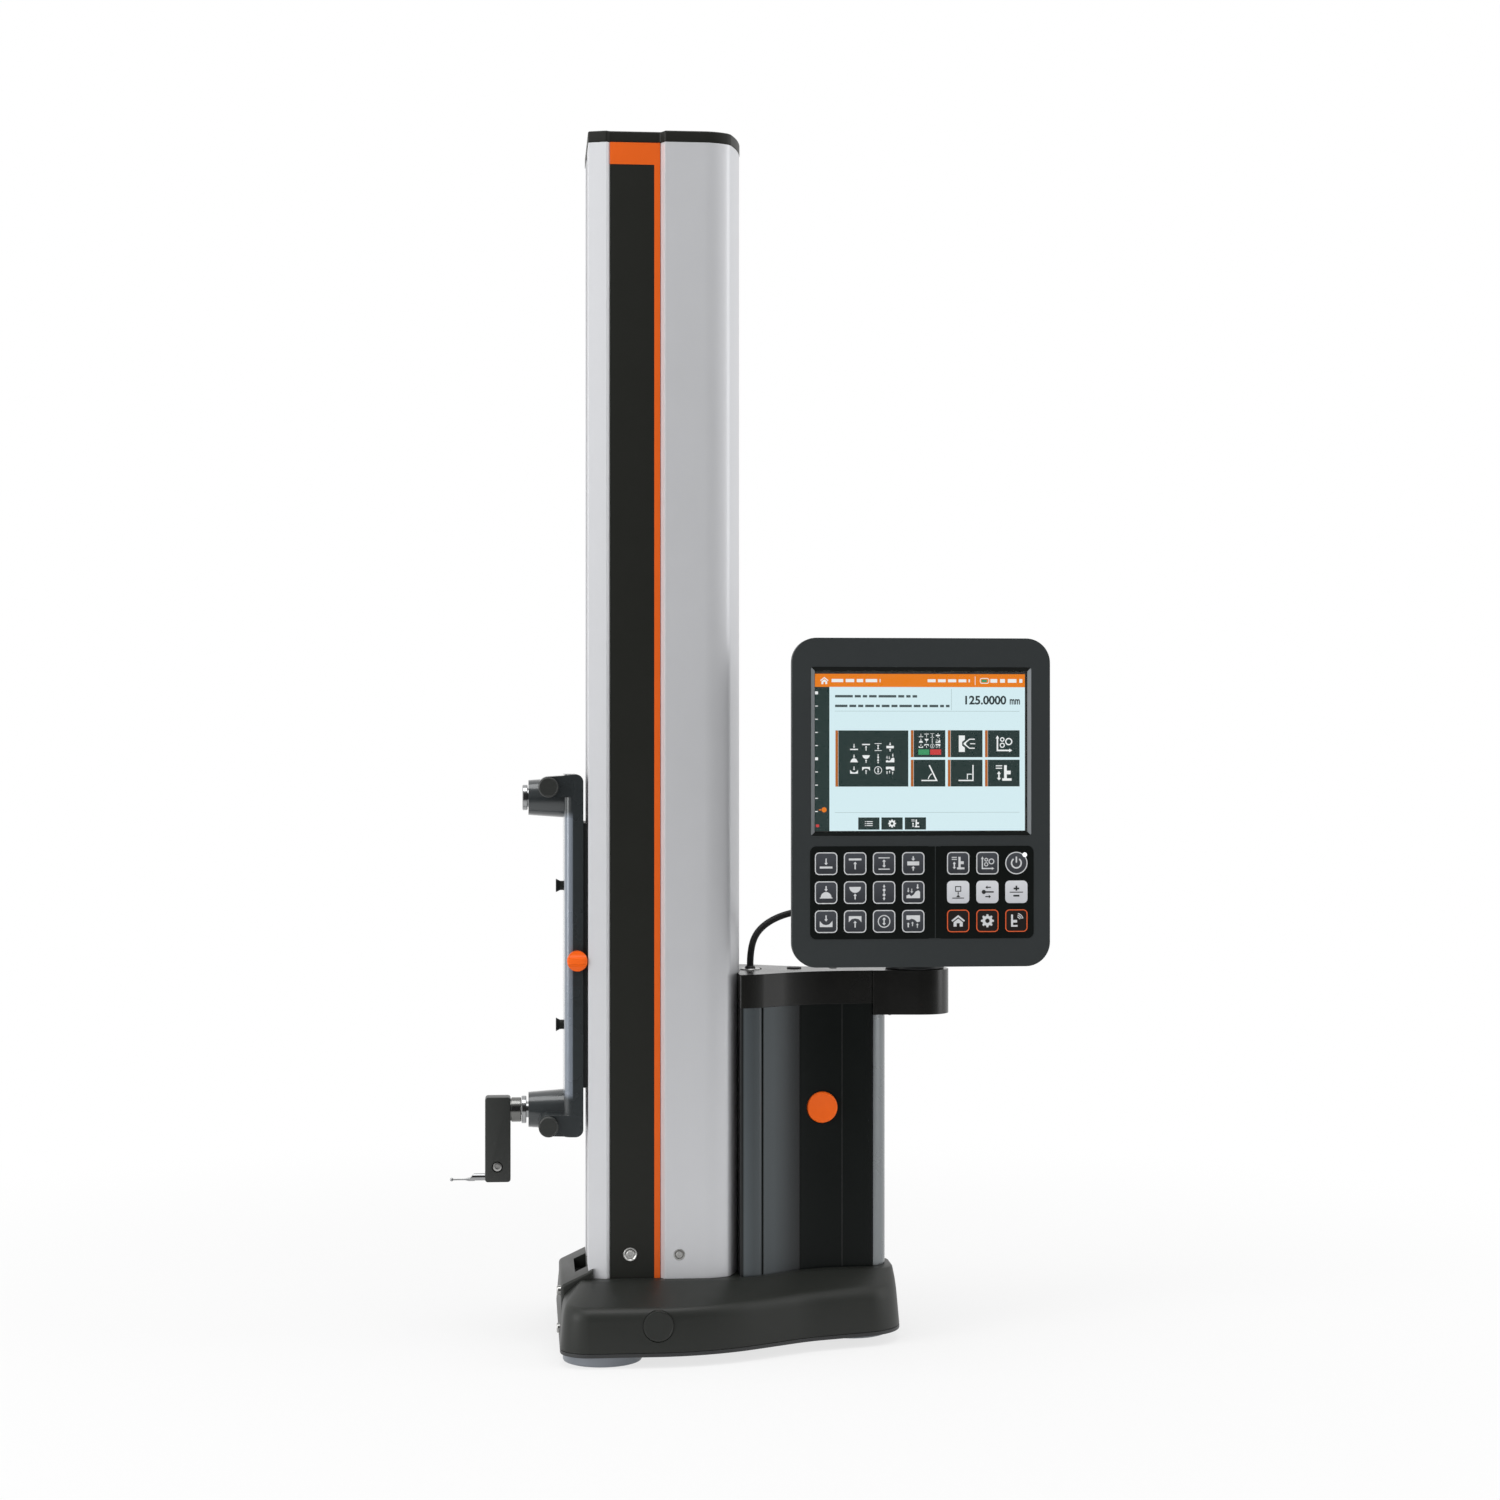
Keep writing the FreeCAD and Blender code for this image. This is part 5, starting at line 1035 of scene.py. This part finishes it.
symbols = {
    "onLine": [arrow(0, 1.5, 5.4, -90), rect(0, -3.1, 10.4, 1.6)],
    "underLine": [rect(0, 3.4, 10.4, 1.6), arrow(0, -1.6, 6.2)],
    "between": [rect(0, 4.6, 9.2, 0.8), arrow(0, 0, 6.8, double=True), rect(0, -4.6, 9.2, 0.8)],
    "outside": [arrow(0, 4.0, 3.8, -90), rect(0, 0, 9.8, 3.2), arrow(0, -4.0, 3.8)],
    "hump": [arrow(0, 3.2, 4.4, -90),
             arc(0, -3.9, 4.4, 0, 180) + [(-5.2, -3.9), (-5.2, -4.7), (5.2, -4.7), (5.2, -3.9)]],
    "bowl": [arc(0, 4.6, 4.8, 180, 360), arrow(0, -3.2, 4.8)],
    "chain": [arrow(0, 4.9, 2.6, -90, 2.4), arc(0, 2.0, 1.2), rect(0, 0, 0.9, 1.2), arc(0, -2.0, 1.2),
              arrow(0, -4.9, 2.6, 90, 2.4)],
    "hills": [[(-5.6, -4.8), (-5.6, -2.6), (-3.4, -1.7), (-1.6, -3.2), (0.6, -1.6), (2.2, 0.8), (4.4, 1.6),
               (5.6, 0.4), (5.6, -4.8)],
              arrow(-4.1, 1.8, 3.6, -90, 2.2, 0.7), arrow(-1.2, 1.2, 3.6, -90, 2.2, 0.7),
              arrow(3.6, 4.6, 4.0, -90, 2.4)],
    "valley": [arrow(0, 2.6, 5.0, -90), mirrored([(-5.2, -4.4), (-5.2, 0.6), (-2.6, -2.2), (0, -2.8)])],
    "arch": [mirrored([(-5.2, 4.4), (-5.2, -0.6), (-2.9, 1.9), (0, 2.5)]), arrow(0, -2.2, 5.6)],
    "bore": [*ring(0, 0, 5.2, 0.8), arrow(0, 0, 6.6, double=True)],
    "roof": [[(-5.6, 4.8), (-5.6, 1.4), (-3.6, 1.0), (-1.4, 2.0), (1.2, 1.2), (3.2, -0.8), (5.6, -0.2), (5.6, 4.8)],
             arrow(-4.1, -3.0, 4.0, 90, 2.4), arrow(-0.6, -2.2, 3.6, 90, 2.2, 0.7),
             arrow(3.4, -3.6, 3.6, 90, 2.2, 0.7)],
    "tower": [[(0.2, 5.2), (0.2, -3.4), (-1.0, -3.4), (-1.0, -5.0), (5.2, -5.0), (5.2, -3.4), (2.0, -3.4),
               (2.0, -0.8), (4.6, -0.8), (4.6, 1.6), (2.0, 1.6), (2.0, 5.2)],
              arrow(-3.2, -1.8, 6.0, 90, 2.8, 1.0, True), rect(-3.2, 4.8, 4.2, 0.7), rect(-3.2, 3.2, 4.2, 0.7)],
    "plan": [[(-4.2, 5.4), (-5.4, 3.4), (-4.7, 3.4), (-4.7, -4.9), (3.6, -4.9), (3.6, -5.6), (5.6, -4.4), (3.6, -3.2),
              (3.6, -3.9), (-3.7, -3.9), (-3.7, 3.4), (-3.0, 3.4)],
             *ring(-1.0, 2.8, 1.5, 0.7), *ring(-1.0, -1.0, 1.7, 0.7), *ring(3.3, 1.4, 2.4, 0.8)],
    "power": [band(0, 0, 4.6, 1.2, 125, 415), rect(0, 2.8, 1.2, 5.0)],
    "probeSet": [softRect(0, 2.6, 5.0, 4.6, 0.4), softRect(0, 2.6, 3.6, 3.2, 0.3), rect(0, -1.0, 0.8, 2.0),
                 [(-1.8, -4.1), (0, -2.2), (1.8, -4.1)], rect(0, -4.9, 9.6, 0.7)],
    "probeWay": [arc(-3.0, 0, 1.7, 20, 340) + [(5.2, -0.6), (5.2, 0.6)], arrow(0.6, 3.8, 4.6, 180, 2.8, 0.9),
                 arrow(0.6, -3.8, 4.6, 0, 2.8, 0.9)],
    "plusMinus": [mirrored([(-0.7, 5.0), (-0.7, 3.4), (-2.3, 3.4), (-2.3, 2.0), (-0.7, 2.0), (-0.7, 0.9)]),
                  rect(0, -0.3, 11.0, 0.7), rect(0, -3.2, 5.0, 1.4)],
    "home": [mirrored([(0, 4.8), (-5.6, 0.4), (-4.7, -0.7), (0, 3.1)]),
             mirrored([(0, 1.9), (-3.8, -1.1), (-3.8, -4.6), (-1.3, -4.6), (-1.3, -1.8)])],
    "gear": gear(0, 0, 5.4),
    "signal": [[(-4.4, 5.0), (-4.4, -5.0), (1.0, -5.0), (1.0, -3.6), (-2.8, -3.6), (-2.8, -1.6), (0.6, -1.6),
                (0.6, 0.6), (-2.8, 0.6), (-2.8, 5.0)],
               *[band(0.4, 0.8, reach, 0.7, 10, 80) for reach in (2.6, 4.0, 5.4)]],
    "angle": [[(-5.4, -4.4), (-5.4, -5.2), (5.4, -5.2), (0.2, 5.4), (-0.6, 5.0), (4.0, -4.4)],
              band(4.4, -4.8, 5.6, 0.6, 122, 169)],
    "square": [[(-5.4, -4.4), (-5.4, -5.2), (4.6, -5.2), (4.6, 5.4), (3.8, 5.4), (3.8, -4.4)],
               [(0.2, -4.0), (0.2, -0.4), (3.4, -0.4), (3.4, -1.0), (0.8, -1.0), (0.8, -4.0)]],
    "fork": [[(-5.2, 5.4), (-5.2, -5.4), (-1.2, -5.4), (-1.2, -2.6), (-3.0, -1.2), (-3.0, 1.2), (-1.2, 2.6),
              (-1.2, 5.4)],
             [(-0.4, 0.5), (2.0, 2.6), (5.4, 2.6), (5.4, 3.3), (1.8, 3.3), (-2.0, 0.4), (-2.0, -0.4), (1.8, -3.3),
              (5.4, -3.3), (5.4, -2.6), (2.0, -2.6), (-0.4, -0.5)], rect(4.0, 0, 3.4, 0.6)],
    "list": [rect(x, z, width, 1.0) for z in (2.6, 0, -2.6) for x, width in ((-4.6, 1.2), (1.0, 8.0))],
}


def drawn(symbol, x, z, scale=1.0):
    return [[(x + a * scale, z + b * scale) for a, b in outline] for outline in symbols[symbol]]


def words(left, right, z, height, gaps):
    # a line of writing as plain dashes
    shapes, x, index = [], left, 0
    while x < right:
        wide = gaps[index % len(gaps)]
        shapes.append(span(x, min(x + wide, right), z - height / 2, z + height / 2))
        x += wide + height * 0.8
        index += 1
    return shapes


def onScreen(name, outlines, layer, colour):
    piece = flatMarks(name, outlines, screen["face"] - screen["step"] * layer, screen["step"] * 0.7)
    finishPiece(piece, "display", glow(name, colours[colour]), angle=20)


dress("display_bezel", 1.0)
module = block("lcdModule", *screen["module"])
soften(module, 0.5)
fit(module, "lcd_module", angle=35)

clear()
(left, right), (low, high) = screen["window"]
middle = Vector(((left + right) / 2, screen["frameFront"], (low + high) / 2)) * mm
bpy.ops.mesh.primitive_plane_add(size=1, location=middle, rotation=(math.radians(90), 0, 0))
frameRim = named("screenFrame")
frameRim.scale = ((right - left - 0.4) * mm, (high - low - 0.4) * mm, 1)
settle(frameRim)
edit(frameRim)
bpy.ops.mesh.inset(thickness=screen["frame"] * mm)
bpy.ops.transform.translate(value=(0, (screen["frameBack"] - screen["frameFront"]) * mm, 0))
bpy.ops.mesh.delete(type="FACE")
leave()
modify(frameRim, "SOLIDIFY", thickness=0.25 * mm, offset=-1)
tidyMesh(frameRim)
# painted reflection and shade: the frame's side slopes take the pale grey and its upper and lower slopes the black
# finish, by the way each faces the lamps
finishPiece(frameRim, "display", finishes["rim"], angle=20)
frameRim.data.materials.append(finishes["black_gloss"])
for face in frameRim.data.polygons:
    face.material_index = 1 if abs(face.normal.z) > 0.2 else 0

(left, right), (low, high) = screen["picture"]
side, header = screen["scaleSide"], screen["headBottom"]
onScreen("screenGround", [span(side, right, low, header)], 1, "ground")
onScreen("screenHeader", [span(left, right, header, high)], 1, "head")
onScreen("screenScale", [span(left, side, low, header)], 1, "dark")
x, z, pitch = screen["ticks"]
ticks = [rect(x, z - pitch * step, *((2.2, 0.7) if step % 5 else (2.4, 2.4))) for step in range(10)]
onScreen("screenTicks", ticks, 2, "white")
z = screen["markerZ"]
onScreen("screenMarker", [arc(127.2, z, 2.1), rect(123.9, z, 1.8, 0.9)], 2, "spot")
onScreen("screenLow", [rect(121.8, 430.2, 2.6, 2.2)], 2, "red")
z = screen["titleZ"]
title = drawn("home", 127.4, z - 0.1, 0.62) + words(133.4, 173.6, z, 2.6, [9.5, 7.0, 5.2])
title += words(212.5, 247.5, z, 2.4, [6.6, 6.4, 6.8, 6.4]) + [rect(251.8, z, 0.5, 7.0)]
title += [softRect(259.6, z, 7.8, 4.6, 1.8), softRect(259.6, z, 6.6, 3.4, 1.2)]
onScreen("screenTitle", title + words(264.5, 291.0, z, 3.0, [5.6, 4.0, 7.2]), 2, "white")
onScreen("screenBattery", [rect(259.3, z, 4.4, 2.2)], 2, "green")
onScreen("screenRules", [span(*rule) for rule in screen["rules"]], 2, "line")
upper, lower = screen["noteZ"]
onScreen("screenNote", words(136.2, 203.8, upper, 2.0, [14.6, 5.0, 3.6, 6.2])
         + words(136.2, 230.6, lower, 2.0, [10.2, 5.6, 4.2, 7.2, 3.2, 6.4, 5.0]), 2, "ink")

tiles = {"big": (138.9, 196.5, 462.1, 508.0), "columns": ((201.0, 227.1), (231.6, 257.9), (262.4, 288.7)),
         "rows": ((486.1, 508.2), (462.1, 484.0)), "icons": (None, "fork", "plan", "angle", "square", "tower")}
smallTiles = [(*across, *up) for up in tiles["rows"] for across in tiles["columns"]]
dark, rust, bright = [], [], []
for x0, x1, z0, z1 in [tiles["big"]] + smallTiles:
    rust.append(span(x0 - 2.4, x0 - 0.2, z0, z1))
    dark.append(span(x0, x1, z0, z1))
for (x0, x1, z0, z1), icon in zip(smallTiles, tiles["icons"]):
    if icon:
        bright += drawn(icon, (x0 + x1) / 2, (z0 + z1) / 2, 1.25)
keyOrder = ["onLine", "underLine", "between", "outside", "hump", "bowl", "chain", "hills", "valley", "arch", "bore",
            "roof"]
for index, icon in enumerate(keyOrder):
    for (x, z), (across, down), scale in (screen["grid"], screen["miniGrid"]):
        bright += drawn(icon, x + across * (index % 4), z - down * (index // 4), scale)
for x, icon in screen["lowIcons"]:
    dark.append(rect(x, screen["lowIconsZ"], 17.5, 10.0))
    bright += drawn(icon, x, screen["lowIconsZ"], 0.62)
onScreen("screenTiles", dark, 2, "dark")
onScreen("screenTileEdges", rust, 2, "rust")
onScreen("screenIcons", bright, 3, "white")
onScreen("screenBoxGreen", [rect(209.3, 490.3, 9.0, 4.4)], 3, "green")
onScreen("screenBoxRed", [rect(219.1, 490.3, 9.0, 4.4)], 3, "red")

reading = {"texts": (("125.0000", 243.6, 277.6, 1.0), ("mm", 280.5, 289.0, 1.5)), "low": 529.6, "bold": 0.03}
written = []
for text, left, right, tall in reading["texts"]:
    clear()
    bpy.ops.object.text_add()
    writing = named("reading")
    writing.data.body = text
    writing.data.offset = reading["bold"]
    bpy.context.view_layer.update()
    size = (right - left) * mm / writing.dimensions.x
    writing.data.size = size
    writing.data.offset = reading["bold"] * size
    writing.data.extrude = screen["step"] * 0.35 * mm
    bpy.context.view_layer.update()
    writing.location = (left * mm - writing.bound_box[0][0], 0, reading["low"] * mm)
    writing.scale.y = tall
    written.append(flatMesh(writing, screen["face"] - screen["step"] * 2, screen["step"] * 0.7))
finishPiece(joined("screenReading", written), "display", glow("screenReading", (40, 54, 56)), angle=20)
print("screen made")

keys = {"left": [128.4, 152.2, 176.0, 200.0], "right": [237.1, 261.3, 285.3], "rows": [399.4, 375.8, 352.2],
        "size": 18.4, "round": 3.5, "line": 0.8, "front": -85.3, "rise": 0.3, "lineRise": 0.12, "inkRise": 0.1,
        "power": 9.2, "lamp": (292.2, 406.2, 1.9),
        "rightIcons": (("tower", "probeSet", "home"), ("plan", "probeWay", "gear"), ("power", "plusMinus", "signal"))}


def keyLook(name, top, bottom, rough):
    # a key's field, paler towards its upper edge
    material, wire = newMaterial(name)
    up = wire.place().output("Z")
    pitch = keys["rows"][0] - keys["rows"][1]
    share = wire.maths("FRACT", (up * (1 / mm) - keys["rows"][0]) * (1 / pitch) + 10.5, 0)
    fine = wire.noise(0.5, 2.0)
    return shaded(material, wire, {
        "Base Color": (share * 0.85 + fine * 0.15).mixed(tint(*bottom), tint(*top)), "Roughness": rough})


inks = {
    "white": surface("inkWhite", (214, 216, 218), 0.5, grain=0.004, drift=0.03),
    "dark": surface("inkDark", (36, 38, 40), 0.5, grain=0.004, drift=0.06),
    "orange": surface("inkOrange", (226, 92, 36), 0.5, grain=0.004, drift=0.04),
    "field": keyLook("keyField", (74, 77, 84), (35, 38, 43), 0.45),
    "pale": keyLook("keyPale", (226, 228, 232), (196, 198, 204), 0.45),
    "black": surface("keyBlack", (26, 20, 18), 0.4, grain=0.004, drift=0.1),
    "lamp": glow("keyLamp", (250, 252, 255), 1.2),
}


def keyPieces(name, outlines, rise, thickness, ink):
    piece = flatMarks(name, outlines, keys["front"] - rise, thickness)
    finishPiece(piece, "display", inks[ink], angle=20)


for word in ("left", "right"):
    dress("key_sheet_" + word, 0.15)
seam = {"x": (213.6, 221.6), "z": (338.2, 413.2), "front": -85.33, "line": (218.0, 218.5)}
bridge = block("keySheetBridge", seam["x"], (seam["front"], -84.9), seam["z"])
soften(bridge, 0.03, 1)
finishPiece(bridge, "display", finishes["black_gloss"])
edgeLine = block("keySheetSeam", seam["line"], (seam["front"] - 0.04, -84.95), seam["z"])
soften(edgeLine, 0.02, 1)
finishPiece(edgeLine, "display", finishes["display_gray"])

plain, pale, black, rims, orangeRims, marks, darkMarks = [], [], [], [], [], [], []
keyOutline = lambda x, z, less=0: softRect(x, z, keys["size"] - less, keys["size"] - less, keys["round"] - less / 2)
keyRim = lambda x, z: [keyOutline(x, z), keyOutline(x, z, 2 * keys["line"])]
for row, z in enumerate(keys["rows"]):
    for column, x in enumerate(keys["left"]):
        rims += keyRim(x, z)
        plain.append(rims[-2])
        marks += drawn(keyOrder[row * 4 + column], x, z)
for x, icons in zip(keys["right"], keys["rightIcons"]):
    for z, icon, fields in zip(keys["rows"], icons, (plain, pale, black)):
        outer, inner = keyRim(x, z)
        if icon == "power":
            outer, inner = [arc(x, z, keys["power"] - less, steps=48) for less in (0, keys["line"])]
        fields.append(outer)
        if fields is not pale:
            (rims if fields is plain else orangeRims).extend((outer, inner))
        (darkMarks if fields is pale else marks).extend(drawn(icon, x, z))
rise, lineRise, inkRise = keys["rise"], keys["lineRise"], keys["inkRise"]
keyPieces("keyFields", plain, rise, rise, "field")
keyPieces("keyFieldsPale", pale, rise, rise, "pale")
keyPieces("keyFieldsBlack", black, rise, rise, "black")
keyPieces("keyRims", rims, rise + lineRise, lineRise, "white")
keyPieces("keyRimsOrange", orangeRims, rise + lineRise, lineRise, "orange")
keyPieces("keySymbols", marks, rise + inkRise, inkRise, "white")
keyPieces("keySymbolsDark", darkMarks, rise + inkRise, inkRise, "dark")
keyPieces("keyLamp", [arc(*keys["lamp"])], rise + 0.3, 0.3, "lamp")

fit(spread("caseScrews", socketHead("caseScrew", screws["case"], 1.3, 1.1, 2.0),
           [((x, screws["caseY"], z), "+y") for x in screws["caseX"] for z in screws["caseZ"]]), "case_screws")
print("keys made")

low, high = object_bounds()
